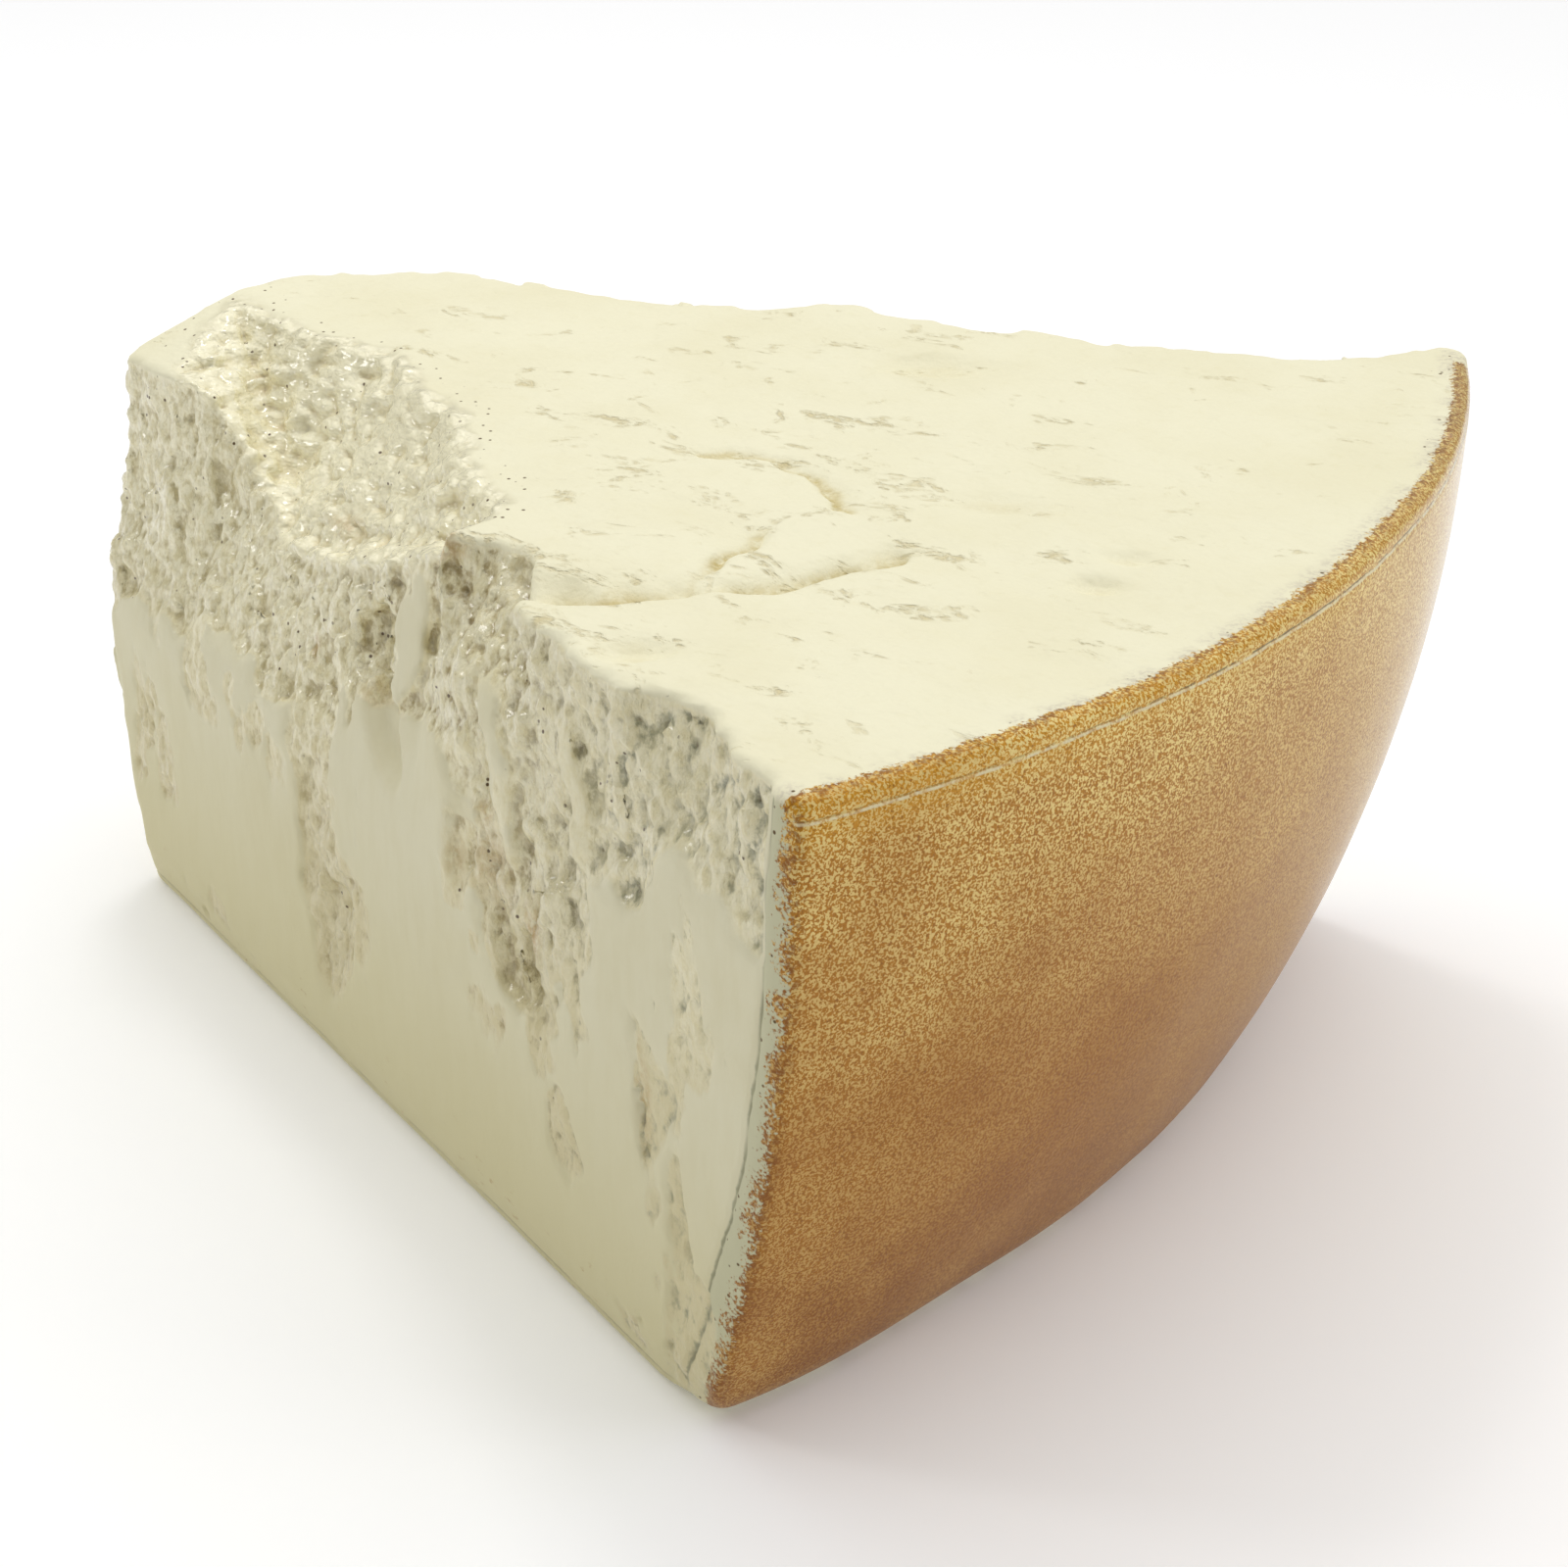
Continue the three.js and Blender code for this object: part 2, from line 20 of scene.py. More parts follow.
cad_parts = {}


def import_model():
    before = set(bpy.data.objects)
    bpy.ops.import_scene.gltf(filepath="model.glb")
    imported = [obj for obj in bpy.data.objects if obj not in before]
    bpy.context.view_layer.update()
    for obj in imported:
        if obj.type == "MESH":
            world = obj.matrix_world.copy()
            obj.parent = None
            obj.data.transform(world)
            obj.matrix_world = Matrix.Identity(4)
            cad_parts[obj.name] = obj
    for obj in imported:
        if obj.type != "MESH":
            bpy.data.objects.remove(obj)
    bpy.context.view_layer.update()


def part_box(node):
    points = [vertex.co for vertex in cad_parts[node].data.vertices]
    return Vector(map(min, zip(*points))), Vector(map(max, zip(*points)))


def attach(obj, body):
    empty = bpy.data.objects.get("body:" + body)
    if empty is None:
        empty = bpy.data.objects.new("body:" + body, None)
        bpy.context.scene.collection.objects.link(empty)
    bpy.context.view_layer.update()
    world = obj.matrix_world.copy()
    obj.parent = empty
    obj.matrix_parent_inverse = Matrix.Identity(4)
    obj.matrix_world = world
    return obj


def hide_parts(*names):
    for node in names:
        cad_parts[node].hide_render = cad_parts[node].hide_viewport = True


Array = np.ndarray
Places = tuple[Array, Array, Array]
Pair = tuple[float, float]
Triple = tuple[float, float, float]
Colour = tuple[float, float, float, float]

MM = 0.001
TINY = 1e-12
EVEN: Triple = (1.0, 1.0, 1.0)
WHITE: Colour = (1.0, 1.0, 1.0, 1.0)
NODE = "parmesan_chunk"
BODY = "root"
PIECE = "chunk_body"
log = logging.getLogger("parmesan")


# ---- helpers on numbers and arrays
def ramp(start: float, end: float, x: Array) -> Array:
    """Smooth step from 0 at start to 1 at end.

    Args:
        start: where the step leaves 0.
        end: where it reaches 1.
        x: the places.

    Returns:
        The step's height at each place.
    """
    t = np.clip((x - start) / (end - start), 0.0, 1.0)
    return t * t * (3.0 - 2.0 * t)


def fall(start: float, end: float, x: Array) -> Array:
    """Smooth step from 1 at start to 0 at end."""
    return 1.0 - ramp(start, end, x)


def smooth_max(a: Array, b: Array, width: Array | float) -> Array:
    """Larger of two distances, joined over a width.

    Args:
        a: the first distance.
        b: the second distance.
        width: how wide the join is.

    Returns:
        The joined distance.
    """
    h = np.maximum(width - np.abs(a - b), 0.0) / width
    return np.maximum(a, b) + h * h * width * 0.25


def bell(x: Array, centre: float, width: float) -> Array:
    """Bell curve, 1 at its centre."""
    return np.exp(-(((x - centre) / width) ** 2))


def lerp(a: Array | float, b: Array | float, t: Array | float) -> Array | float:
    """Value between a and b."""
    return a + (b - a) * t


def track(x: Array, points: tuple[Pair, ...]) -> Array:
    """Height at x of the line through points."""
    return np.interp(x, *zip(*points))


def to_stretch(x: Array, y: Array, start: Pair, end: Pair) -> Array:
    """Distance from a straight stretch of a line in plan.

    Args:
        x: places along the first axis.
        y: places along the second axis.
        start: where the stretch starts.
        end: where it ends.

    Returns:
        The distance of each place.
    """
    (ax, ay), (bx, by) = start, end
    dx, dy = bx - ax, by - ay
    t = np.clip(((x - ax) * dx + (y - ay) * dy) / (dx * dx + dy * dy), 0.0, 1.0)
    return np.hypot(x - ax - t * dx, y - ay - t * dy)


def words(numbers: list[Array]) -> list[Array]:
    """Whole numbers, also negative ones, as unsigned words."""
    return [n.astype(np.int64).astype(np.uint32) for n in numbers]


def corners_of_cube() -> list[tuple[int, int, int]]:
    """The eight corners of a unit cube."""
    return [(c & 1, c >> 1 & 1, c >> 2) for c in range(8)]


def only(where: Array, noise: Callable[..., Array], place: Places, *more: Array) -> Array:
    """Noise worked out only where it counts, and 0 elsewhere.

    Args:
        where: the places that count.
        noise: the noise.
        place: the places.
        more: further arrays that the noise takes.

    Returns:
        The noise at each place.
    """
    out = np.zeros(np.shape(place[0]))
    if where.any():
        out[where] = noise(tuple(q[where] for q in place), *(m[where] for m in more))
    return out


# ---- seeded noise
@dataclass(frozen=True)
class Lattice:
    """Random numbers on the points of an integer lattice, the same on every run."""

    axes: tuple[int, int, int] = (0x8DA6B343, 0xD8163841, 0xCB1AB31F)
    spread: int = 0x9E3779B1
    mixers: tuple[int, int] = (0x2C1B3C6D, 0x297A2D39)
    shifts: tuple[int, int] = (15, 12)
    word: int = 0xFFFFFFFF
    unit: float = 2.0**-32

    def draw(self, cell: list[Array], seed: int) -> Array:
        """Number from 0 to 1 for each lattice point.

        Args:
            cell: column, row and layer of the points, as unsigned words.
            seed: which set of numbers.

        Returns:
            The numbers.
        """
        x, y, z = cell
        h = x * np.uint32(self.axes[0]) ^ y * np.uint32(self.axes[1])
        h = h ^ z * np.uint32(self.axes[2]) ^ np.uint32(seed * self.spread & self.word)
        h = (h ^ h >> np.uint32(self.shifts[0])) * np.uint32(self.mixers[0])
        h = (h ^ h >> np.uint32(self.shifts[1])) * np.uint32(self.mixers[1])
        h = h ^ h >> np.uint32(self.shifts[0])
        return h.astype(np.float32) * np.float32(self.unit)


LATTICE = Lattice()


@dataclass(frozen=True)
class Ripple:
    """Two octaves of smooth noise from -1 to 1.

    Attributes:
        size: length of the coarser waves.
        seed: which set of random numbers.
        upright: how much longer the waves are in height.
        finer: how much shorter the finer waves are.
        weaker: height of the finer waves.
        shift: moves the finer waves' lattice off the coarser one.
    """

    size: float
    seed: int
    upright: float = 1.0
    finer: float = 2.03
    weaker: float = 0.5
    shift: Triple = (17.3, -9.1, 5.7)

    def octave(self, place: list[Array], seed: int) -> Array:
        """One octave at lattice scale.

        Args:
            place: places in cells.
            seed: which set of random numbers.

        Returns:
            The noise at each place.
        """
        floors = [np.floor(q) for q in place]
        parts = [q - f for q, f in zip(place, floors)]
        fades = [t * t * t * (t * (t * 6.0 - 15.0) + 10.0) for t in parts]
        cells = words(floors)
        total = np.zeros(np.shape(place[0]), np.float32)
        for corner in corners_of_cube():
            weight = 1.0
            for axis, side in enumerate(corner):
                weight = weight * (fades[axis] if side else 1.0 - fades[axis])
            at = [cells[axis] + np.uint32(side) for axis, side in enumerate(corner)]
            total += weight * LATTICE.draw(at, seed)
        return total * 2.0 - 1.0

    def __call__(self, place: Places) -> Array:
        """Noise at places.

        Args:
            place: the places.

        Returns:
            The noise at each place.
        """
        place = (place[0], place[1], place[2] / self.upright)
        k = 1.0 / self.size
        coarse = self.octave([q * k for q in place], self.seed)
        k *= self.finer
        fine = self.octave([q * k + s for q, s in zip(place, self.shift)], self.seed + 1)
        return (coarse + self.weaker * fine) / (1.0 + self.weaker)


@dataclass(frozen=True)
class Crag:
    """Broken facets: each cell is a tilted plane or lump, softly joined to its neighbours.

    Attributes:
        size: breadth of a facet.
        seed: which set of random numbers.
        upright: how much longer the facets are in height.
        sharpness: how abruptly facets meet.
        jitter: how irregularly the cells lie.
        level: how much the cells differ in height.
        dome: how much a cell falls off from its middle, for lumps with creases between.
        mean_away: mean square distance from a middle, which leaves the domes' mean at 0.
        spins: factors that turn a draw into the draws for the tilt and the height.
    """

    size: float
    seed: int
    upright: float = 1.0
    sharpness: float = 14.0
    jitter: float = 0.8
    level: float = 0.6
    dome: float = 0.0
    mean_away: float = 0.2
    spins: Pair = (7.13, 5.77)

    def __call__(self, place: Places) -> Array:
        """Height of the facets at places.

        Args:
            place: the places.

        Returns:
            The facets' height at each place.
        """
        x, y, z = place
        scaled = [q.astype(np.float32) / np.float32(self.size) for q in (x, y, z / self.upright)]
        floors = [np.floor(q - 0.5) for q in scaled]
        total = np.zeros(np.shape(x), np.float32)
        weights = np.zeros(np.shape(x), np.float32)
        for corner in corners_of_cube():
            cell = [f + side for f, side in zip(floors, corner)]
            at = words(cell)
            draws = [LATTICE.draw(at, self.seed + k) for k in range(3)]
            offsets = [
                q - c - 0.5 - (h - 0.5) * self.jitter for q, c, h in zip(scaled, cell, draws)
            ]
            away = sum(q * q for q in offsets)
            weight = np.exp(-self.sharpness * away)
            turns = [(h * self.spins[0]) % 1.0 * 2.0 - 1.0 for h in draws]
            tilt = sum(q * turn for q, turn in zip(offsets, turns))
            rise = (sum(draws) * self.spins[1]) % 1.0 * 2.0 - 1.0
            total += weight * (self.level * rise + tilt + self.dome * (away - self.mean_away))
            weights += weight
        return total / (weights + TINY)


@dataclass(frozen=True)
class Layers:
    """Noises that are added up, each with its height."""

    parts: tuple[tuple[float, Callable[[Places], Array]], ...]

    def __call__(
        self, place: Places, start: Array | float = 0.0, where: Array | None = None
    ) -> Array:
        """Sum of the noises at places.

        Args:
            place: the places.
            start: what the noises are added to.
            where: the places that count, all if left out.

        Returns:
            The sum at each place.
        """
        total = start
        for height, noise in self.parts:
            total = total + height * (
                noise(place) if where is None else only(where, noise, place)
            )
        return total


# ---- the chunk's form
@dataclass(frozen=True)
class Oval:
    """A turned oval: centre, half sizes and turn in radians."""

    at: Pair
    half: Pair
    turn: float = 0.0

    def reach(self, x: Array, y: Array) -> Array:
        """Distance from the centre, 1 on the rim.

        Args:
            x: first coordinate of the places.
            y: second coordinate.

        Returns:
            The distance.
        """
        c, s = math.cos(self.turn), math.sin(self.turn)
        a = (x - self.at[0]) * c + (y - self.at[1]) * s
        b = -(x - self.at[0]) * s + (y - self.at[1]) * c
        return np.hypot(a / self.half[0], b / self.half[1])

    def share(self, x: Array, y: Array, full: float, edge: float) -> Array:
        """1 where the reach is below full, falling to 0 where it is edge."""
        return fall(full, edge, self.reach(x, y))


@dataclass(frozen=True)
class Patch:
    """A patch of crumb or whole paste on the cut.

    Attributes:
        oval: its outline in distance along the cut and height.
        full: the reach within which it has its full strength.
        strength: that strength.
        edge: the reach at which it ends.
    """

    oval: Oval
    full: float
    strength: float
    edge: float = 1.1

    def share(self, along: Array, z: Array) -> Array:
        """Its strength at places on the cut."""
        return self.strength * self.oval.share(along, z, self.full, self.edge)


@dataclass(frozen=True)
class Dent:
    """A shallow dent in a face: its oval, its depth and how wrinkled it is."""

    oval: Oval
    depth: float
    rough: float = 0.45


@dataclass(frozen=True)
class Crack:
    """A crack in the top, with a steep wall on the right of its path and a slope on the left.

    Attributes:
        path: points in plan from the wheel's axis.
        depth: how deep it is.
        width: half its width.
        steep: width of the steep wall as a share.
        gentle: width of the slope as a share.
        wander: how far its line strays.
        mean: its mean strength.
        strengths: how its strength changes along it.
        strays: how its line strays along each axis.
    """

    path: tuple[Pair, ...]
    depth: float
    width: float
    steep: float = 0.4
    gentle: float = 1.3
    wander: float = 2.2
    mean: float = 0.8
    strengths: Layers = Layers(((0.5, Ripple(6, 63)),))
    strays: tuple[Ripple, Ripple] = (Ripple(9, 65), Ripple(5, 69))

    def share(self, x: Array, y: Array) -> Array:
        """How much of the crack's depth is reached.

        Args:
            x: places along the first axis.
            y: places along the second axis.

        Returns:
            The share at each place, about 1 in the crack's line.
        """
        flat = np.zeros(np.shape(x))
        strength = self.strengths((x, y, flat), self.mean)
        x = x + self.wander * self.strays[0]((x, y, flat))
        y = y + self.wander * self.strays[1]((x, y, flat))
        best = np.full(np.shape(x), np.inf)
        left = np.zeros(np.shape(x), bool)
        for (ax, ay), (bx, by) in zip(self.path, self.path[1:]):
            away = to_stretch(x, y, (ax, ay), (bx, by))
            turned = (bx - ax) * (y - ay) - (by - ay) * (x - ax) > 0.0
            left = np.where(away < best, turned, left)
            best = np.minimum(best, away)
        return strength * bell(best, 0.0, self.width * np.where(left, self.gentle, self.steep))


@dataclass(frozen=True)
class Wave:
    """A swell or hollow along a cut: place, width and rise."""

    along: float
    width: float
    rise: float

    def __call__(self, along: Array) -> Array:
        """Height of the wave at distances along the cut."""
        return self.rise * bell(along, self.along, self.width)


@dataclass(frozen=True)
class Bowl:
    """The bowl broken out behind the front cut, in distance along it and depth behind it.

    Its wall falls from a rim, a line in plan, with a slope of its own under each stretch of
    the rim, down to a floor that drops along the cut.

    Attributes:
        rim: the rim from its end near the rind to its end under the horn.
        slopes: how steeply the wall falls from each stretch.
        floor: height of the floor along the cut.
        floor_tilt: how the floor rises with depth.
        floor_from: depth at which the floor has that height.
        outer_slope: how the form rises outside the rim.
    """

    rim: tuple[Pair, ...] = (
        (94.0, -30.0), (94.8, 8.8), (97.7, 15.2), (102.0, 20.2), (110.0, 21.6), (120.0, 24.2),
        (134.4, 30.4), (144.5, 31.3), (159.0, 34.9), (170.0, 36.0), (180.0, 33.0),
        (188.0, 30.8), (199.0, 29.6), (209.2, 28.7), (199.5, 19.4), (191.0, 11.5),
        (183.0, 8.5), (172.0, 7.0), (176.0, -30.0),
    )
    slopes: tuple[float, ...] = (
        5.0, 3.0, 1.8, 1.3, 1.2, 1.15, 1.15, 1.1, 1.1,
        1.1, 1.15, 1.2, 1.0, 0.8, 0.8, 1.0, 1.8, 2.5,
    )
    floor: tuple[Pair, ...] = (
        (94, 100), (106, 96), (110, 94), (122, 89.7), (129, 88), (144, 82.7), (162, 79),
        (175, 74), (190, 68),
    )
    floor_tilt: float = 0.1
    floor_from: float = 9.0
    outer_slope: float = 1.5

    def inside(self, along: Array, depth: Array) -> Array:
        """Which places in plan lie inside the rim.

        Args:
            along: distance along the front cut.
            depth: depth behind the front cut.

        Returns:
            True for each place inside.
        """
        odd = np.zeros(np.shape(along), bool)
        for (ax, ay), (bx, by) in zip(self.rim, self.rim[1:] + self.rim[:1]):
            if ay != by:
                crosses = (depth < ay) != (depth < by)
                odd ^= crosses & (along < ax + (depth - ay) / (by - ay) * (bx - ax))
        return odd

    def distance(self, along: Array, depth: Array, z: Array, top: Array) -> Array:
        """Distance above the smooth wall and floor.

        Args:
            along: distance along the front cut.
            depth: depth behind the front cut.
            z: height.
            top: height of the face that the bowl is broken out of.

        Returns:
            The distance at each place, positive in the bowl.
        """
        drop = np.full(np.shape(along), np.inf)
        slope = np.ones(np.shape(along))
        for start, end, steep in zip(self.rim, self.rim[1:], self.slopes):
            lower = steep * to_stretch(along, depth, start, end)
            slope = np.where(lower < drop, steep, slope)
            drop = np.minimum(drop, lower)
        inside = self.inside(along, depth)
        slope = np.where(inside, slope, self.outer_slope)
        wall = top - np.where(inside, drop, -self.outer_slope / slope * drop)
        ground = track(along, self.floor) + self.floor_tilt * (depth - self.floor_from)
        return np.minimum((z - wall) / np.sqrt(1.0 + slope * slope), z - ground)


class Side(Enum):
    """The two cuts of the wedge."""

    FRONT = -1
    BACK = 1


@dataclass(frozen=True)
class Cut:
    """One upright cut of the wedge, with coordinates along it and behind it.

    Attributes:
        side: which of the two cuts.
        heading: its direction against the middle plane, in degrees.
        radius: radius of the wheel.
        angle: the wedge's angle at the wheel's axis, in degrees.
    """

    side: Side
    heading: float
    radius: float
    angle: float

    @property
    def corner(self) -> Pair:
        """Where the cut meets the rind at the top."""
        half = math.radians(self.angle / 2)
        return self.radius * math.cos(half), self.side.value * self.radius * math.sin(half)

    def places(self, x: Array, y: Array) -> tuple[Array, Array]:
        """Distance along the cut from the rind corner, and depth behind it.

        Args:
            x: places from the wheel's axis.
            y: places from the middle plane.

        Returns:
            The distances and the depths.
        """
        h = math.radians(self.heading)
        dx, dy = x - self.corner[0], y - self.corner[1]
        side = self.side.value
        along = -dx * math.cos(h) - side * dy * math.sin(h)
        depth = dx * math.sin(h) - side * dy * math.cos(h)
        return along, depth


@dataclass(frozen=True)
class ChunkForm:
    """The whole chunk as a function of space about the wheel's axis.

    Fields called join are widths over which two faces are rounded into each other, and
    pairs of numbers without a further word are the start and the end of a smooth step.
    """

    wheel_radius: float = 225.0
    height: float = 103.0
    wedge_angle: float = 51.5
    axis: Pair = (-115.17, -2.61)
    # rind
    rind_tuck: Pair = (16.5, 19.5)
    rind_tuck_spread: float = 0.3
    rind_tuck_power: float = 2.2
    rind_tuck_end: float = 1.1
    rind_swell: Layers = Layers(((0.25, Ripple(25, 71)),))
    base_edge: float = 8.0
    # broken tip: how far it is worn back at each height
    tip_front: tuple[Pair, ...] = (
        (8, 11.2), (20, 8.2), (35, 7), (49, 4.2), (64, 4.2), (81, 6.8), (96, 8.6), (103, 11),
    )
    tip_back: tuple[Pair, ...] = ((0, 9), (50, 7.5), (75, 8.5), (103, 13))
    tip_places: Pair = (-28, 6)
    tip_rough: Layers = Layers(((1.6, Ripple(22, 91)), (1.2, Crag(9, 95))))
    # sloping top of the tip
    horn_slope: float = 0.276
    horn_depth: float = 30.0
    horn_from: float = 172.0
    horn_fades: Pair = (160.0, 174.0)
    # bowl
    bowl: Bowl = Bowl()
    bowl_rough: Layers = Layers(((0.8, Crag(11, 101)), (0.5, Crag(5.5, 103))))
    bowl_from: float = 80.0
    bowl_within: float = 50.0
    bowl_above: float = 50.0
    # front cut
    front_heading: float = 21.0
    near_cut: float = 30.0
    edge_breaks: tuple[Wave, ...] = (Wave(28, 8, 5), Wave(84, 13, 11.5))
    edge_break_drop: float = 24.0
    edge_break_power: float = 1.3
    edge_wear: float = 0.8
    foot_height: float = 9.0
    foot_draft: float = 2.3
    whole_corner: Pair = (4.5, 8.0)
    lean: tuple[Pair, ...] = (
        (54, 0), (60, 0.7), (66, 2.2), (76, 5.0), (86, 7.2), (96, 8.2), (103, 8.6),
    )
    lean_share: tuple[Pair, ...] = (
        (86, 0), (92, 0.3), (97, 0.75), (110, 0.8), (125, 0.95), (144, 1.25), (155, 1.5),
        (166, 1.75), (174, 1.7), (184, 1.3), (194, 0.95), (203, 0.75), (215, 0.65),
    )
    hollows: tuple[Dent, ...] = (
        Dent(Oval((117, 79), (8.5, 5.5), -0.7), 4.0),
        Dent(Oval((109.5, 69.5), (11.5, 5), 0.75), 3.6),
        Dent(Oval((81.5, 63), (4.5, 9), 0.2), 1.6),
        Dent(Oval((63.5, 51), (2.6, 7.5), -0.2), 1.8),
    )
    hollow_reach: Pair = (0.5, 1.05)
    crumb_line: tuple[Pair, ...] = (
        (-5, 86), (25, 84), (32, 78), (45, 74), (60, 70), (84, 72), (95, 76),
        (118, 72), (122, 64), (150, 60), (175, 60), (215, 50),
    )
    crumb_rise: Layers = Layers(((7.0, Ripple(14, 11)), (2.5, Ripple(6, 13))))
    crumb_sway: Layers = Layers(((6.0, Ripple(12, 17)),))
    crumb_border: Pair = (-3, 3)
    crumb_patches: tuple[Patch, ...] = (
        Patch(Oval((64, 64), (17, 22), 0.35), 0.75, 1.0),
        Patch(Oval((129, 40), (9.5, 30), -0.12), 0.7, 0.85),
        Patch(Oval((55, 30), (6, 9)), 0.7, 0.6),
        Patch(Oval((22, 15), (8, 12)), 0.7, 0.5),
        Patch(Oval((33, 48), (4, 13), -0.1), 0.6, 0.5),
        Patch(Oval((26, 30), (3.5, 12)), 0.6, 0.5),
    )
    plates: tuple[Patch, ...] = (
        Patch(Oval((103.5, 84), (4.5, 11)), 0.6, 0.9),
        Patch(Oval((74, 79), (4.5, 18), -0.56), 0.4, 0.75),
        Patch(Oval((123, 66), (3.5, 9), -0.5), 0.5, 0.7),
        Patch(Oval((52, 84), (4, 12), -0.4), 0.4, 0.6),
    )
    flakes: Layers = Layers(((1.6, Crag(9, 31, 1 / 0.55)), (0.6, Crag(4.2, 37, 1 / 0.7))))
    flake_depth: float = 1.1
    cut_swell: Layers = Layers(((0.35, Ripple(30, 41)),))
    cut_wear: float = 0.25
    # back cut
    back_heading: float = 21.6
    back_waves: tuple[Wave, ...] = (
        Wave(4, 12, 7.5), Wave(42, 26, -4.0), Wave(75, 14, -0.6), Wave(106, 9, 5.2),
        Wave(125, 55, 1.8), Wave(174, 15, 7.4),
    )
    back_wave_heights: Pair = (40, 100)
    back_crumb_height: float = 70.0
    back_crumb_rise: Layers = Layers(((14.0, Ripple(16, 81)),))
    back_flakes: Layers = Layers(((1.8, Crag(10, 83, 1 / 0.6)), (0.9, Crag(4.5, 87, 1 / 0.7))))
    back_flake_depth: float = 1.0
    # top
    top_swell: Layers = Layers(
        ((0.7, Ripple(34, 61)), (0.28, Ripple(11, 67)), (0.16, Ripple(5, 77)))
    )
    cracks: tuple[Crack, ...] = (
        Crack(((139, -64), (147, -62), (155, -54), (163, -45), (171, -28)), 2.8, 3.2),
        Crack(((154, -52), (152, -41), (152, -32)), 1.3, 1.8),
        Crack(((128, -9), (137, -5), (143, -8), (155, -16)), 1.2, 1.8),
    )
    dents: tuple[Dent, ...] = (
        Dent(Oval((134, 45), (13, 7), 0.5), 1.6),
        Dent(Oval((140, -62), (8, 6)), 2.0, 0.4),
        Dent(Oval((160, -71), (9, 4), 0.5), 0.6, 0.4),
        Dent(Oval((162, -73), (7, 4), 0.8), 1.2),
        Dent(Oval((199, -19), (5, 3.5), 0.4), 1.3),
        Dent(Oval((198, -9), (5, 3), 0.4), 0.9),
        Dent(Oval((173, -2), (14, 6), 0.3), 0.8),
    )
    dent_reach: Pair = (0.2, 1.1)
    wrinkle_reach: Pair = (0.1, 1.0)
    # joins
    join_cut: float = 3.0
    join_tip: float = 5.0
    join_rind: float = 3.0
    join_top: float = 2.2
    join_foot: float = 7.0
    join_foot_within: Pair = (-14, -4)
    join_base: float = 2.0
    join_bite: float = 0.9
    join_bite_front: Pair = (2.2, 5.5)
    join_bite_below: Pair = (3.0, 12.0)
    join_bite_along: Pair = (148.0, 160.0)
    join_horn: float = 2.0

    @property
    def front(self) -> Cut:
        """The cut that carries the bowl."""
        return Cut(Side.FRONT, self.front_heading, self.wheel_radius, self.wedge_angle)

    @property
    def back(self) -> Cut:
        """The cut at the back."""
        return Cut(Side.BACK, self.back_heading, self.wheel_radius, self.wedge_angle)

    def crumbliness(self, place: Places, along: Array) -> Array:
        """How crumbly the front cut is, from 0 to 1.

        Args:
            place: the places.
            along: their distance along the front cut.

        Returns:
            The crumbliness at each place.
        """
        level = self.crumb_rise(place, place[2])
        shifted = self.crumb_sway(place, along)
        line = track(along, self.crumb_line)
        crumb = ramp(*self.crumb_border, level - line) * ramp(*self.whole_corner, along)
        for patch in self.crumb_patches:
            crumb = np.maximum(crumb, patch.share(shifted, level))
        for plate in self.plates:
            crumb = crumb * (1.0 - plate.share(shifted, level))
        return crumb

    def front_relief(self, place: Places, along: Array, near: Array) -> Array:
        """How far the front cut is worn back.

        Args:
            place: the places.
            along: their distance along the front cut.
            near: which are close enough to the cut for its flakes to count.

        Returns:
            The depth at each place.
        """
        z = place[2]
        edge = self.edge_wear + sum(b(along) for b in self.edge_breaks)
        drop = (z - self.height + self.edge_break_drop) / self.edge_break_drop
        lean = track(z, self.lean) * track(along, self.lean_share)
        depth = np.maximum(edge * ramp(0, 1, drop) ** self.edge_break_power, lean)
        crumb = only(near, self.crumbliness, place, along)
        depth = depth + crumb * self.flakes(place, self.flake_depth, crumb > 0.0)
        for dent in self.hollows:
            depth = depth + dent.depth * dent.oval.share(along, z, *self.hollow_reach)
        depth = depth + self.foot_draft * np.clip(1.0 - z / self.foot_height, 0.0, 1.0)
        return self.cut_swell(place, depth) + self.cut_wear

    def back_crumb(self, place: Places, along: Array) -> Array:
        """How crumbly the back cut is, from 0 to 1."""
        level = self.back_crumb_rise(place, place[2] - self.back_crumb_height)
        return ramp(*self.crumb_border, level) * ramp(*self.whole_corner, along)

    def back_relief(self, place: Places, along: Array, near: Array) -> Array:
        """How far the back cut is worn back, in the same terms as front_relief.

        Args:
            place: the places.
            along: distance from the axis along the cut.
            near: whether each place is near the cut.

        Returns:
            The depth.
        """
        wave = sum(w(along) for w in self.back_waves)
        crumb = only(near, self.back_crumb, place, along)
        flakes = self.back_flakes(place, self.back_flake_depth, crumb > 0.0)
        return crumb * flakes - wave * ramp(*self.back_wave_heights, place[2])

    def top_height(self, x: Array, y: Array) -> Array:
        """Height of the top face.

        Args:
            x: first coordinate of the places.
            y: second coordinate.

        Returns:
            The height.
        """
        height = self.top_swell((x, y, np.zeros(np.shape(x))), self.height)
        for crack in self.cracks:
            height = height - crack.depth * crack.share(x, y)
        for dent in self.dents:
            height = height - dent.depth * dent.oval.share(x, y, *self.dent_reach)
        return height

    def fissure(self, x: Array, y: Array) -> Array:
        """How much of a crack or dent of the top each place lies in, from 0 to 1.

        Args:
            x: first coordinate of the places.
            y: second coordinate.

        Returns:
            The share.
        """
        cracks = [crack.share(x, y) for crack in self.cracks]
        dents = [dent.rough * dent.oval.share(x, y, *self.wrinkle_reach) for dent in self.dents]
        return np.maximum.reduce(cracks + dents)

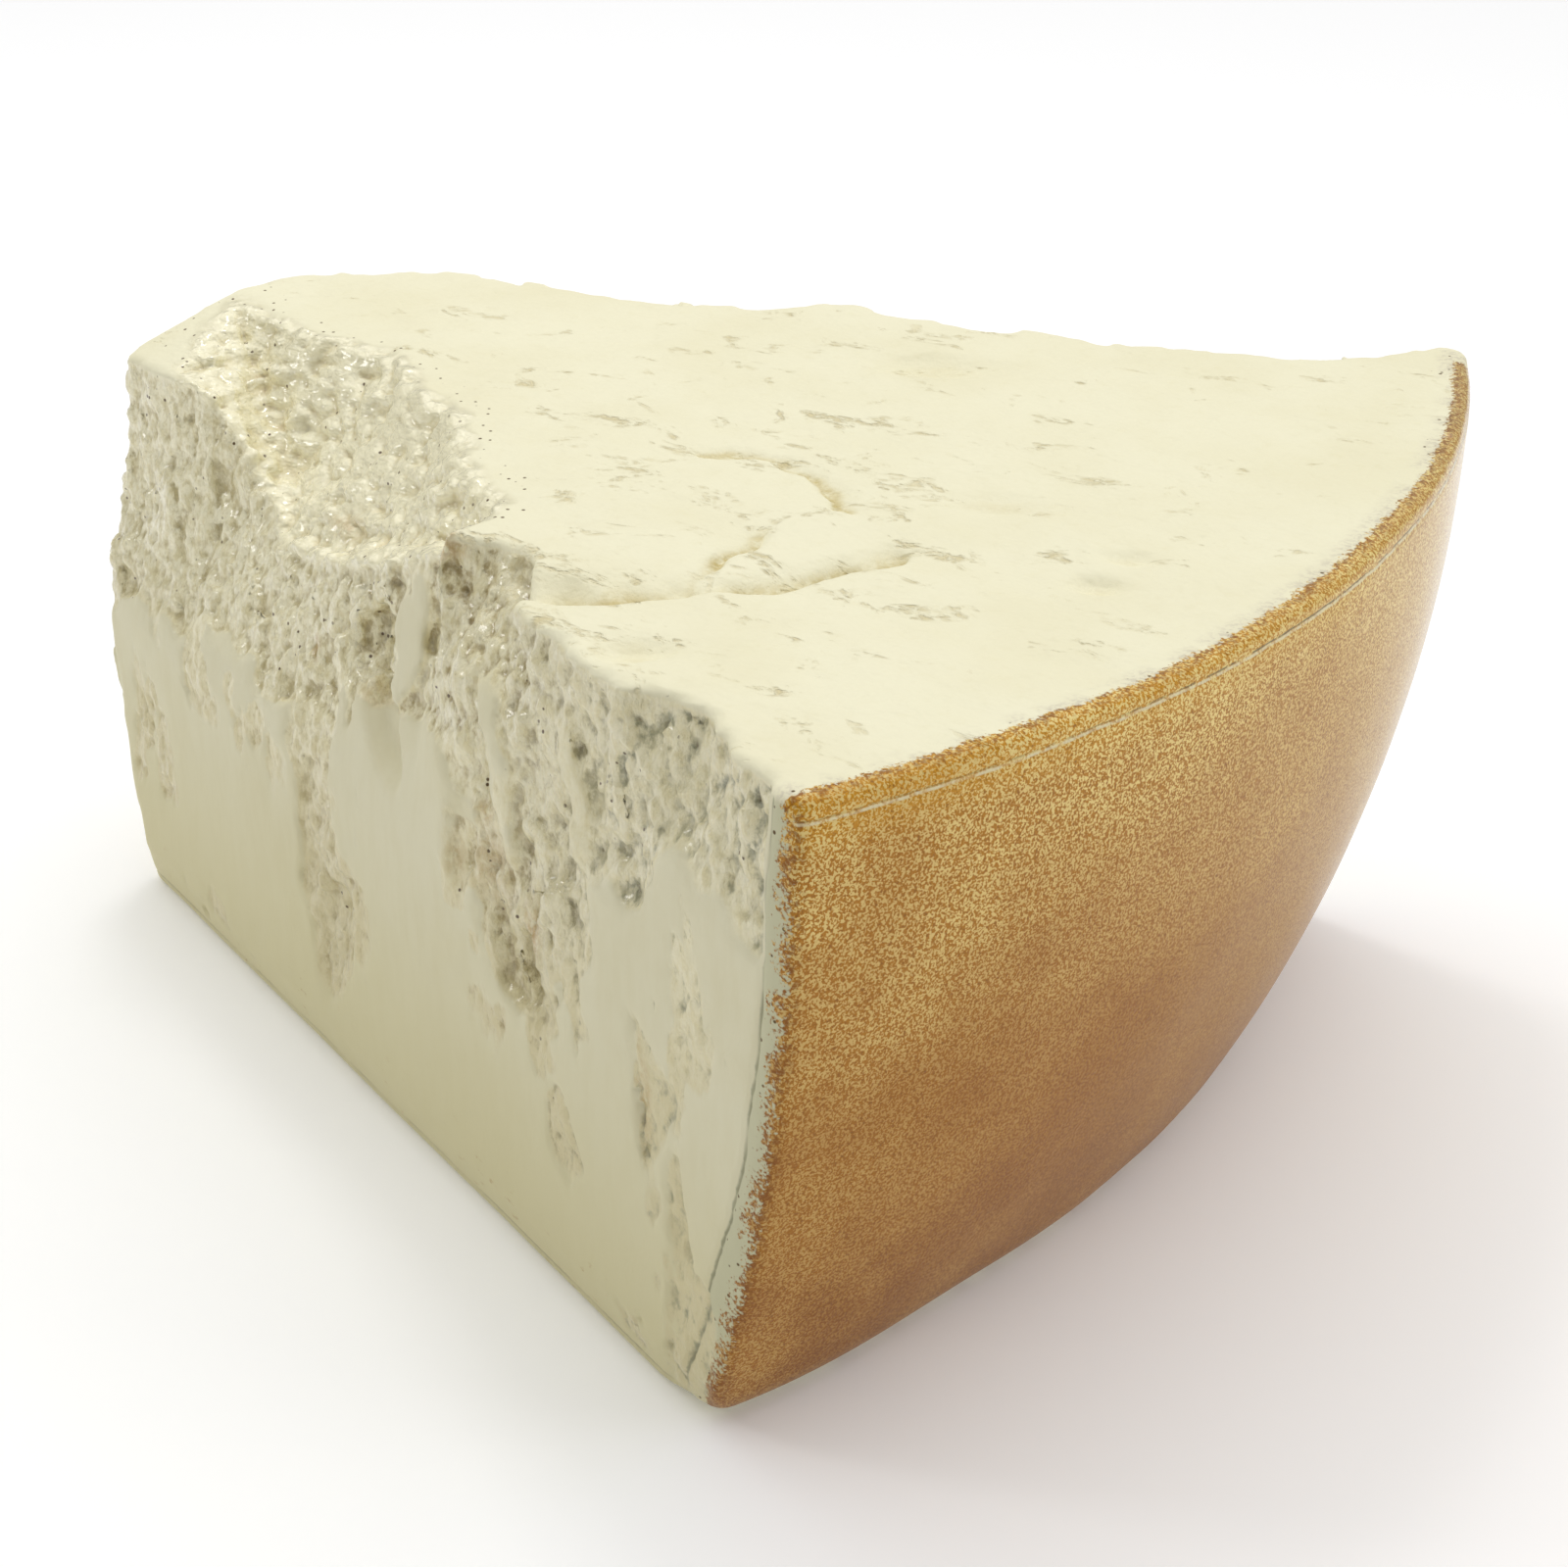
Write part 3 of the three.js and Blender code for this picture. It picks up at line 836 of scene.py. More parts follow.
    def rind_distance(self, place: Places) -> Array:
        """Distance outside the rind, which tucks in towards the base.

        Args:
            place: the places.

        Returns:
            The distance at each place, negative inside.
        """
        x, y, z = place
        t = np.clip((self.height - z) / (self.height - self.base_edge), 0.0, self.rind_tuck_end)
        share = 0.5 + np.arctan2(y, x) / math.radians(self.wedge_angle)
        tuck = lerp(*self.rind_tuck, ramp(0, self.rind_tuck_spread, share))
        radius = self.wheel_radius - tuck * t**self.rind_tuck_power
        return self.rind_swell(place, np.hypot(x, y) - radius)

    def tip_distance(self, place: Places, near: Array) -> Array:
        """Distance outside the broken tip, rough only at the places that are near.

        Args:
            place: the places.
            near: whether each place is near the tip.

        Returns:
            The distance.
        """
        x, y, z = place
        face = lerp(track(z, self.tip_front), track(z, self.tip_back), ramp(*self.tip_places, y))
        return self.tip_rough(place, face, near) - x

    def horn_facet(self, depth: Array) -> Array:
        """Height of the sloping top of the horn."""
        return self.height - self.horn_slope * (self.horn_depth - depth)

    def horn_distance(self, along: Array, depth: Array, z: Array) -> Array:
        """Distance above the sloping top of the horn."""
        return np.minimum(z - self.horn_facet(depth), along - self.horn_from)

    def bowl_distance(self, place: Places, along: Array, depth: Array, near: Array) -> Array:
        """Distance above the rough wall and floor of the bowl.

        Args:
            place: the places.
            along: their distance along the front cut.
            depth: their depth behind the front cut.
            near: which are close enough to the bowl for its facets to count.

        Returns:
            The distance at each place, positive in the bowl.
        """
        share = ramp(*self.horn_fades, along)
        top = np.minimum(self.height, lerp(self.height, self.horn_facet(depth), share))
        smooth = self.bowl.distance(along, depth, place[2], top)
        return smooth - self.bowl_rough(place, where=near)

    def __call__(self, place: Places) -> Array:
        """The form: negative inside, zero on the surface.

        Args:
            place: the places.

        Returns:
            The form's value at each place.
        """
        x, y, z = place
        along, depth = self.front.places(x, y)
        along_back, depth_back = self.back.places(x, y)
        rind = self.rind_distance(place)
        front = self.front_relief(place, along, depth < self.near_cut) - depth
        back = self.back_relief(place, along_back, depth_back < self.near_cut) - depth_back
        d = smooth_max(front, back, self.join_cut)
        d = smooth_max(d, self.tip_distance(place, x < self.near_cut), self.join_tip)
        d = smooth_max(d, rind, self.join_rind)
        d = smooth_max(d, z - self.top_height(x, y), self.join_top)
        foot = lerp(self.join_base, self.join_foot, ramp(*self.join_foot_within, rind))
        d = smooth_max(d, -z, foot)
        d = smooth_max(d, self.horn_distance(along, depth, z), self.join_horn)
        near = (z > self.bowl_above) & (depth < self.bowl_within) & (along > self.bowl_from)
        front_join = lerp(*self.join_bite_front, ramp(*self.join_bite_along, along))
        join = lerp(self.join_bite, front_join, ramp(*self.join_bite_below, self.height - z))
        return smooth_max(d, self.bowl_distance(place, along, depth, near), join)


# ---- from form to mesh
@dataclass(frozen=True)
class SurfaceNet:
    """Finds the zero level of a form on a fine grid, looking only near the surface.

    Attributes:
        step: size of the finest cells.
        low: lowest corner of the space that is searched.
        high: highest corner of that space.
        halvings: how often the coarse blocks are halved.
        slack: what the form may be off as a distance, as a share and as a length.
        batch: how many places are worked out at once.
    """

    step: float
    low: Triple
    high: Triple
    halvings: int = 4
    slack: Pair = (1.7, 1.8)
    batch: int = 300000

    def sample(
        self, form: Callable[[Places], Array], cells: Array, offset: float, size: int
    ) -> Array:
        """Form at places of the grid.

        Args:
            form: the form.
            cells: whole coordinates, one row each.
            offset: added to the coordinates, in cells.
            size: length of a cell in steps.

        Returns:
            The form's value for each row.
        """
        places = (cells + offset) * (self.step * size) + np.array(self.low)
        starts = range(0, len(places), self.batch)
        return np.concatenate([form(tuple(places[i : i + self.batch].T)) for i in starts])

    def near_surface(self, form: Callable[[Places], Array]) -> tuple[Array, Array]:
        """The finest cells close to the surface.

        Args:
            form: the form.

        Returns:
            The cells, one row each, and the grid's size in cells.
        """
        size = 2**self.halvings
        span = np.subtract(self.high, self.low)
        count = np.ceil(span / (self.step * size)).astype(np.int64)
        cells = np.stack(np.meshgrid(*[np.arange(n) for n in count], indexing="ij"), -1)
        cells = cells.reshape(-1, 3)
        children = np.array(corners_of_cube())
        while size > 1:
            value = np.abs(self.sample(form, cells, 0.5, size))
            reach = size * self.step * math.sqrt(3.0) / 2.0
            cells = cells[value < reach * self.slack[0] + self.slack[1]]
            cells = (cells[:, None, :] * 2 + children[None]).reshape(-1, 3)
            size //= 2
        return cells, count * 2**self.halvings + 1

    def crossings(self, value: Array, corners: Array) -> Array:
        """Mean place in each cell of the points where its edges cross the surface.

        Args:
            value: the form at the cells' corners, one row each.
            corners: the corners of a unit cell.

        Returns:
            The places within the cells, one row each.
        """
        total = np.zeros((len(value), 3))
        hits = np.zeros(len(value))
        for i, start in enumerate(corners):
            for j, end in enumerate(corners):
                if j < i or np.abs(start - end).sum() != 1:
                    continue
                a, b = value[:, i], value[:, j]
                cut = (a < 0) != (b < 0)
                t = np.where(cut, a / np.where(cut, a - b, 1.0), 0.0)
                total += np.where(cut[:, None], start + (end - start) * t[:, None], 0.0)
                hits += cut
        return total / hits[:, None]

    def build(self, form: Callable[[Places], Array]) -> tuple[Array, Array]:
        """Vertices and four sided faces of the surface.

        Args:
            form: the form.

        Returns:
            The vertices in millimetres and the faces as rows of four indices.
        """
        cells, grid = self.near_surface(form)
        layer = grid[2] * grid[1]

        def key(c: Array) -> Array:
            """One number for each cell."""
            return (c[:, 0] * grid[1] + c[:, 1]) * grid[2] + c[:, 2]

        corners = np.array([corner[::-1] for corner in corners_of_cube()])
        wanted = np.stack([key(cells + o) for o in corners], 1)
        keys, index = np.unique(wanted, return_inverse=True)
        points = np.stack([keys // layer, keys // grid[2] % grid[1], keys % grid[2]], 1)
        value = self.sample(form, points, 0.0, 1)[index.reshape(wanted.shape)]
        crossed = (value < 0).any(1) & ~(value < 0).all(1)
        cells, value = cells[crossed], value[crossed]
        order = np.argsort(key(cells))
        cells, value = cells[order], value[order]
        names = key(cells)
        vertices = (cells + self.crossings(value, corners)) * self.step + np.array(self.low)

        faces = []
        for axis in range(3):
            ahead = 1 << (2 - axis)
            sign = value[:, 0] < 0
            edges = np.flatnonzero(sign != (value[:, ahead] < 0))
            side = [np.eye(3, dtype=np.int64)[(axis + k) % 3] for k in (1, 2)]
            around = [key(cells[edges] - s) for s in (side[0], side[0] + side[1], side[1])]
            found = [np.minimum(np.searchsorted(names, k), len(names) - 1) for k in around]
            whole = np.all([names[f] == k for f, k in zip(found, around)], axis=0)
            quads = np.stack([edges, *found], 1)[whole]
            outward = sign[edges][whole]
            quads[~outward] = quads[~outward][:, ::-1]
            faces.append(quads)
        return vertices, np.concatenate(faces)


@dataclass(frozen=True)
class Zones:
    """What kind of surface each place is on.

    Attributes:
        hollow: 1 on the wall and the floor of the bowl.
        crumb: how crumbly a cut or the tip is.
        level: 1 on the top.
        rind: 1 on the rind.
        paint: distance inside the edge of the rind's colour, in millimetres.
        rim: distance in from the edge of the top, in millimetres.
        corner: distance along the front cut from the rind, far more off the cut.
        fissure: how much of a crack or dent of the top a place lies in.
    """

    hollow: Array
    crumb: Array
    level: Array
    rind: Array
    paint: Array
    rim: Array
    corner: Array
    fissure: Array


@dataclass(frozen=True)
class Grain:
    """Fine grain of the crumbled faces, as a depth that is worn off the form.

    Attributes:
        hollow: depths and shapes of the bowl's granules.
        crumb: depths and shapes of the flakes and upright ridges of the crumbly bands.
        recess: how much deeper the crumbly bands lie as a whole.
    """

    hollow: tuple[tuple[float, Crag], ...] = (
        (0.8, Crag(5.2, 201, 0.45, 13.0, 0.9, 0.45, 0.9)),
        (0.4, Crag(2.5, 211, 0.5, 13.0, 0.9, 0.45, 0.9)),
    )
    crumb: tuple[tuple[float, Crag], ...] = (
        (0.62, Crag(3.8, 221, 1.3, 13.0, 0.9, 0.45, 1.0)),
        (0.45, Crag(1.9, 231, 1.3, 13.0, 0.9, 0.45, 1.0)),
        (0.28, Crag(1.6, 241, 4.0)),
    )
    recess: float = 0.35

    def depth(self, place: Places, zones: Zones) -> Array:
        """Depth of the grain.

        Args:
            place: the places.
            zones: what kind of surface each place is on.

        Returns:
            The depth at each place.
        """
        dry = zones.crumb * (1.0 - zones.hollow)
        depth = np.zeros(np.shape(dry))
        for share, layers in ((zones.hollow, self.hollow), (dry, self.crumb)):
            for height, crag in layers:
                depth += share * height * only(share > 0.0, crag, place)
        return depth + dry * self.recess


@dataclass(frozen=True)
class Seam:
    """The mould's parting lines and the strip beside the rind on the front cut.

    Attributes:
        below_top: how far the line round the rind lies below the top.
        width: half width of that line.
        depth: its depth.
        low: height of the line along the foot of the cuts.
        low_width: half width of that line.
        low_depth: its depth.
        beside: breadth of the strip beside the rind, which ends in a crease.
        beside_width: half width of the crease.
        beside_depth: depth of the crease.
        beside_from: heights over which strip and crease set in.
        chamfer: how deep the strip is worn at the rind.
    """

    below_top: float = 2.4
    width: float = 0.4
    depth: float = 0.3
    low: float = 2.6
    low_width: float = 0.4
    low_depth: float = 0.35
    beside: float = 4.9
    beside_width: float = 0.45
    beside_depth: float = 0.5
    beside_from: Pair = (2.0, 8.0)
    chamfer: float = 0.5

    def groove(self, z: Array, height: float, zones: Zones) -> Array:
        """Depth of the grooves.

        Args:
            z: height.
            height: height of the chunk.
            zones: what kind of surface each place is on.

        Returns:
            The depth at each place.
        """
        cut = (1.0 - zones.rind) * (1.0 - zones.level) * (1.0 - zones.hollow)
        upper = self.depth * bell(z, height - self.below_top, self.width)
        lower = self.low_depth * bell(z, self.low, self.low_width)
        beside = self.beside_depth * bell(zones.corner, self.beside, self.beside_width)
        strip = self.chamfer * ramp(0.0, self.beside, self.beside - zones.corner)
        return zones.rind * upper + cut * (lower + (beside + strip) * ramp(*self.beside_from, z))


@dataclass(frozen=True)
class ZoneMap:
    """Tells the kinds of surface of a form apart.

    Pairs of numbers are the start and the end of a smooth step over a distance.

    Attributes:
        form: the form.
        paint_from_front: how far the rind's colour ends short of the front cut.
        paint_from_back: how far it ends short of the back cut.
        paint_within_rind: how far it reaches onto other faces.
        paint_above_base: how far it ends above the base.
        off_cut: depth over which a place leaves the front cut.
        off_cut_add: what is then added to its distance from the rind.
        corner_wander: how much the line beside the rind strays.
        corner_strays: how it strays.
        corner_low: how much nearer to the rind it runs at the foot.
        corner_low_to: heights over which that ends.
        scatter: patches of weak crumb.
        scatter_noise: where the crumb of those patches lies.
        scatter_over: values of patch and noise over which it sets in.
        scatter_less: what is taken off their sum.
        ragged: noise that frays the crumb's border.
        ragged_over: crumb over which the border lies.
    """

    form: ChunkForm
    paint_from_front: float = 0.9
    paint_from_back: float = 1.5
    paint_within_rind: float = 2.8
    paint_above_base: float = 1.2
    off_cut: Pair = (4.0, 8.0)
    off_cut_add: float = 40.0
    corner_wander: float = 0.5
    corner_strays: Layers = Layers(((2.0, Ripple(19, 73)), (1.0, Ripple(7, 75))))
    corner_low: float = 1.6
    corner_low_to: Pair = (10.0, 50.0)
    scatter: tuple[Patch, ...] = (
        Patch(Oval((124, 48), (19, 44), -0.1), 0.3, 0.75, 1.0),
        Patch(Oval((66, 56), (30, 34), 0.3), 0.4, 0.7, 1.0),
        Patch(Oval((165, 54), (46, 15), 0.15), 0.2, 0.7, 1.0),
        Patch(Oval((22, 62), (16, 30)), 0.3, 0.6, 1.0),
        Patch(Oval((194, 28), (16, 30)), 0.3, 0.75, 1.0),
        Patch(Oval((28, 22), (10, 26), -0.1), 0.2, 0.5, 1.0),
        Patch(Oval((30, 8), (16, 8)), 0.3, 0.75, 1.0),
        Patch(Oval((176, 8), (34, 8)), 0.3, 0.55, 1.0),
        Patch(Oval((33, 46), (2.2, 13), -0.05), 0.6, 0.9, 1.0),
    )
    scatter_noise: Layers = Layers(((1.0, Ripple(7, 301, 2.2)), (0.5, Ripple(3, 303, 1.6))))
    scatter_over: Pair = (-0.05, 0.35)
    scatter_less: float = 0.45
    ragged: Layers = Layers(((0.3, Ripple(3.2, 305, 1.4)),))
    ragged_over: Pair = (0.2, 0.4)
    hollow_within: Pair = (0.5, 2.0)
    rind_within: Pair = (-1.6, -0.6)
    level_within: Pair = (0.5, 1.6)
    horn_within: Pair = (-1.6, -0.5)
    tip_within: Pair = (-2.5, -1.0)
    tip_crumb: float = 0.8
    crumb_front: Pair = (14, 22)
    crumb_back: Pair = (8, 14)
    crumb_below_top: Pair = (0.3, 2.0)
    crumb_off_rind: Pair = (-3, -1)
    crumb_above_base: Pair = (0.5, 3.0)

    def loose(self, place: Places, along: Array) -> Array:
        """Weak crumbliness scattered round the bands of the front cut.

        Args:
            place: the places.
            along: their distance along the front cut.

        Returns:
            The crumbliness at each place.
        """
        crumb = np.zeros(np.shape(along))
        for patch in self.scatter:
            crumb = np.maximum(crumb, patch.share(along, place[2]))
        sum_of_both = self.scatter_noise(place) + crumb - self.scatter_less
        return crumb * ramp(*self.scatter_over, sum_of_both) * ramp(*self.form.whole_corner, along)

    def corner(self, place: Places, depth: Array, rind_distance: Array) -> Array:
        """Distance along the front cut from the rind, with a wandering line of equal distance.

        Args:
            place: the places.
            depth: their depth behind the front cut.
            rind_distance: their distance outside the rind.

        Returns:
            The distance at each place.
        """
        corner = self.corner_wander * self.corner_strays(place) - rind_distance
        corner = corner - self.corner_low * fall(*self.corner_low_to, place[2])
        return corner + self.off_cut_add * ramp(*self.off_cut, depth)

    def __call__(self, place: Places) -> Zones:
        """Kinds of surface at places on the form.

        Args:
            place: the places.

        Returns:
            The kinds at each place.
        """
        x, y, z = place
        form = self.form
        everywhere = np.ones(np.shape(x), bool)
        along, depth = form.front.places(x, y)
        along_back, depth_back = form.back.places(x, y)
        nearest = -form.bowl_distance(place, along, depth, everywhere)
        hollow = fall(*self.hollow_within, nearest)
        rind_distance = form.rind_distance(place)
        below = form.top_height(x, y) - z
        on_horn = ramp(*self.horn_within, form.horn_distance(along, depth, z)) * (1.0 - hollow)
        level = np.maximum(fall(*self.level_within, below) * (1.0 - hollow), on_horn)
        tip = ramp(*self.tip_within, form.tip_distance(place, everywhere)) * (1.0 - hollow)
        front = np.maximum(form.crumbliness(place, along), self.loose(place, along))
        front = front * ramp(*self.ragged_over, self.ragged(place, front))
        front = front * fall(*self.crumb_front, depth)
        back = form.back_crumb(place, along_back) * fall(*self.crumb_back, depth_back)
        crumb = np.maximum.reduce([front, back, self.tip_crumb * tip])
        crumb = crumb * (ramp(*self.crumb_below_top, below) * (1.0 - level))
        crumb = crumb * fall(*self.crumb_off_rind, rind_distance) * ramp(*self.crumb_above_base, z)
        inside = [
            depth - self.paint_from_front,
            depth_back - self.paint_from_back,
            z - self.paint_above_base,
            rind_distance + self.paint_within_rind,
        ]
        return Zones(
            hollow=hollow,
            crumb=crumb,
            level=level,
            rind=ramp(*self.rind_within, rind_distance),
            paint=np.minimum.reduce(inside),
            rim=np.minimum(-rind_distance, nearest),
            corner=self.corner(place, depth, rind_distance),
            fissure=form.fissure(x, y) * level,
        )


# ---- what shaders are described with
# the curve that screens follow: straight up to a knee, then a power
KNEE, SLOPE, OFFSET, POWER = 0.04045, 12.92, 0.055, 2.4
FULL = 255.0


@dataclass(frozen=True)
class Tint:
    """A colour as screens show it, each part from 0 to 255."""

    red: float
    green: float
    blue: float

    @staticmethod
    def channel(value: float) -> float:
        """Light of one part, from 0 to 1."""
        v = value / FULL
        return v / SLOPE if v <= KNEE else ((v + OFFSET) / (1.0 + OFFSET)) ** POWER

    @property
    def light(self) -> Colour:
        """The colour as light."""
        return (*(self.channel(v) for v in (self.red, self.green, self.blue)), 1.0)


@dataclass(frozen=True)
class Step:
    """A smooth step: where it starts and ends, and its values before and after."""

    start: float
    end: float
    before: float = 0.0
    after: float = 1.0


@dataclass(frozen=True)
class Cloud:
    """A cloudy noise and the step that makes a mask of it.

    Attributes:
        size: length of its coarsest waves, in millimetres.
        step: the step over the noise, whose mean is a half.
        detail: number of finer octaves.
        rough: strength of each finer octave.
        warp: how far it is distorted.
        squeeze: how much finer it is along each axis.
    """

    size: float
    step: Step = Step(0.0, 1.0)
    detail: float = 3.0
    rough: float = 0.55
    warp: float = 0.0
    squeeze: Triple = EVEN


class Mask(str, Enum):
    """The numbers stored on the mesh, by kind of surface."""

    HOLLOW = "hollow"
    CRUMB = "crumb"
    LEVEL = "level"
    RIND = "rind"
    PAINT = "paint"
    RIM = "rim"
    CORNER = "corner"
    FISSURE = "fissure"
    CAVITY = "cavity"


# ---- shader sockets that can be used in arithmetic
@dataclass(frozen=True)
class Wire:
    """A number socket of a shader; arithmetic on it adds Math nodes."""

    tree: "ShaderTree"
    socket: bpy.types.NodeSocket

    def maths(self, operation: str, *others: "Wire | float", swapped: bool = False) -> "Wire":
        """Result of a Math node.

        Args:
            operation: the node's operation.
            others: the further operands.
            swapped: whether this wire comes second.

        Returns:
            The node's result.
        """
        operands = [self, *others]
        if swapped:
            operands.reverse()
        inputs = dict(enumerate(operands))
        node = self.tree.node("ShaderNodeMath", {"operation": operation}, inputs)
        return Wire(self.tree, node.outputs[0])

    def __add__(self, other: "Wire | float") -> "Wire":
        """Sum."""
        return self.maths("ADD", other)

    def __radd__(self, other: float) -> "Wire":
        """Sum with a number on the left."""
        return self.maths("ADD", other, swapped=True)

    def __sub__(self, other: "Wire | float") -> "Wire":
        """Difference."""
        return self.maths("SUBTRACT", other)

    def __rsub__(self, other: float) -> "Wire":
        """Difference with a number on the left."""
        return self.maths("SUBTRACT", other, swapped=True)

    def __mul__(self, other: "Wire | float") -> "Wire":
        """Product."""
        return self.maths("MULTIPLY", other)

    def __rmul__(self, other: float) -> "Wire":
        """Product with a number on the left."""
        return self.maths("MULTIPLY", other, swapped=True)

    def larger(self, other: "Wire | float") -> "Wire":
        """Larger of two."""
        return self.maths("MAXIMUM", other)

    def smaller(self, other: "Wire | float") -> "Wire":
        """Smaller of two."""
        return self.maths("MINIMUM", other)

    def swing(self, height: float) -> "Wire":
        """A noise's swing about its mean of a half, times a height."""
        return (self - 0.5) * height

    def off(self, value: float) -> "Wire":
        """How far it is from a value."""
        return (self - value).maths("ABSOLUTE")

    def by(self, step: Step) -> "Wire":
        """A smooth step over this wire.

        Args:
            step: the step.

        Returns:
            The step's value.
        """
        inputs = {
            "Value": self, "From Min": step.start, "From Max": step.end,
            "To Min": step.before, "To Max": step.after,
        }
        node = self.tree.node(
            "ShaderNodeMapRange", {"interpolation_type": "SMOOTHSTEP"}, inputs
        )
        return Wire(self.tree, node.outputs[0])


@dataclass
class ShaderTree:
    """The nodes of one material; places are on the object, in millimetres."""

    material: bpy.types.Material
    places: dict[Triple, bpy.types.NodeSocket] = field(default_factory=dict)

    def node(self, kind: str, settings: dict[str, Any], inputs: dict[Any, Any]) -> bpy.types.Node:
        """Adds a node.

        Args:
            kind: the node's type.
            settings: its settings, set first.
            inputs: what feed takes, by the input's name or number.

        Returns:
            The node.
        """
        made = self.material.node_tree.nodes.new(kind)
        for name, value in settings.items():
            setattr(made, name, value)
        for name, value in inputs.items():
            self.feed(made.inputs[name], value)
        return made

    def feed(self, socket: bpy.types.NodeSocket, value: Any) -> None:
        """Sets an input to a value or links it.

        Args:
            socket: the input.
            value: a wire, a socket, a tint or a plain value.
        """
        source = value.socket if isinstance(value, Wire) else value
        if isinstance(source, bpy.types.NodeSocket):
            self.material.node_tree.links.new(source, socket)
        else:
            socket.default_value = source.light if isinstance(source, Tint) else source

    def masks(self, *wanted: Mask) -> list[Wire]:
        """Numbers stored on the mesh.

        Args:
            wanted: their masks.

        Returns:
            A wire for each mask.
        """
        settings = [{"attribute_type": "GEOMETRY", "attribute_name": m.value} for m in wanted]
        nodes = [self.node("ShaderNodeAttribute", s, {}) for s in settings]
        return [Wire(self, node.outputs["Fac"]) for node in nodes]

    def place(self, squeeze: Triple = EVEN) -> bpy.types.NodeSocket:
        """Place on the object, with each axis times its squeeze.

        Args:
            squeeze: the factor for each axis.

        Returns:
            The place.
        """
        if squeeze not in self.places:
            source = self.node("ShaderNodeTexCoord", {}, {}).outputs["Object"]
            inputs = {0: source, 1: tuple(s / MM for s in squeeze)}
            node = self.node("ShaderNodeVectorMath", {"operation": "MULTIPLY"}, inputs)
            self.places[squeeze] = node.outputs[0]
        return self.places[squeeze]

    def axes(self) -> list[Wire]:
        """Place on the object along its three axes."""
        node = self.node("ShaderNodeSeparateXYZ", {}, {0: self.place()})
        return [Wire(self, out) for out in node.outputs]

    def distance(self, at: Triple, stretch: Triple) -> Wire:
        """Distance from a point, with each axis divided by its stretch.

        Args:
            at: the point.
            stretch: how much further the distance reaches along each axis.

        Returns:
            The distance.
        """
        vector = self.place()
        for operation, other in (("SUBTRACT", at), ("DIVIDE", stretch)):
            inputs = {0: vector, 1: other}
            node = self.node("ShaderNodeVectorMath", {"operation": operation}, inputs)
            vector = node.outputs[0]
        length = self.node("ShaderNodeVectorMath", {"operation": "LENGTH"}, {0: vector})
        return Wire(self, length.outputs["Value"])

    def noise(self, cloud: Cloud) -> Wire:
        """A cloud's noise, from 0 to 1, without its step.

        Args:
            cloud: the cloud.

        Returns:
            The noise.
        """
        inputs = {
            "Vector": self.place(cloud.squeeze), "Scale": 1.0 / cloud.size,
            "Detail": cloud.detail, "Roughness": cloud.rough, "Distortion": cloud.warp,
        }
        node = self.node("ShaderNodeTexNoise", {"noise_dimensions": "3D"}, inputs)
        return Wire(self, node.outputs[0])

    def cloud(self, cloud: Cloud) -> Wire:
        """A cloud's noise with its step."""
        return self.noise(cloud).by(cloud.step)

    def spots(self, size: float) -> tuple[Wire, Wire]:
        """Scattered points.

        Args:
            size: mean distance of the points.

        Returns:
            Distance to the nearest point, in cells, and that point's own number.
        """
        inputs = {"Vector": self.place(), "Scale": 1.0 / size, "Randomness": 1.0}
        settings = {"feature": "F1", "voronoi_dimensions": "3D"}
        node = self.node("ShaderNodeTexVoronoi", settings, inputs)
        number = self.node("ShaderNodeSeparateColor", {}, {0: node.outputs["Color"]})
        return Wire(self, node.outputs["Distance"]), Wire(self, number.outputs[0])

    def mix(self, share: Wire, under: Any, over: Any) -> bpy.types.NodeSocket:
        """Mixes two colours.

        Args:
            share: how much of the second colour shows.
            under: the first tint, or the socket of a colour.
            over: the second.

        Returns:
            The mixed colour.
        """
        settings = {"data_type": "RGBA", "clamp_factor": True}
        return self.node("ShaderNodeMix", settings, {0: share, 6: under, 7: over}).outputs[2]

    def bump(
        self, height: Wire, depth: float, normal: bpy.types.NodeSocket | None = None
    ) -> bpy.types.NodeSocket:
        """Surface normal with fine relief.

        Args:
            height: the relief.
            depth: what a height of 1 stands for, in millimetres.
            normal: the normal to add it to.

        Returns:
            The new normal.
        """
        inputs = {"Height": height, "Distance": depth * MM, "Strength": 1.0}
        if normal is not None:
            inputs["Normal"] = normal
        return self.node("ShaderNodeBump", {}, inputs).outputs[0]


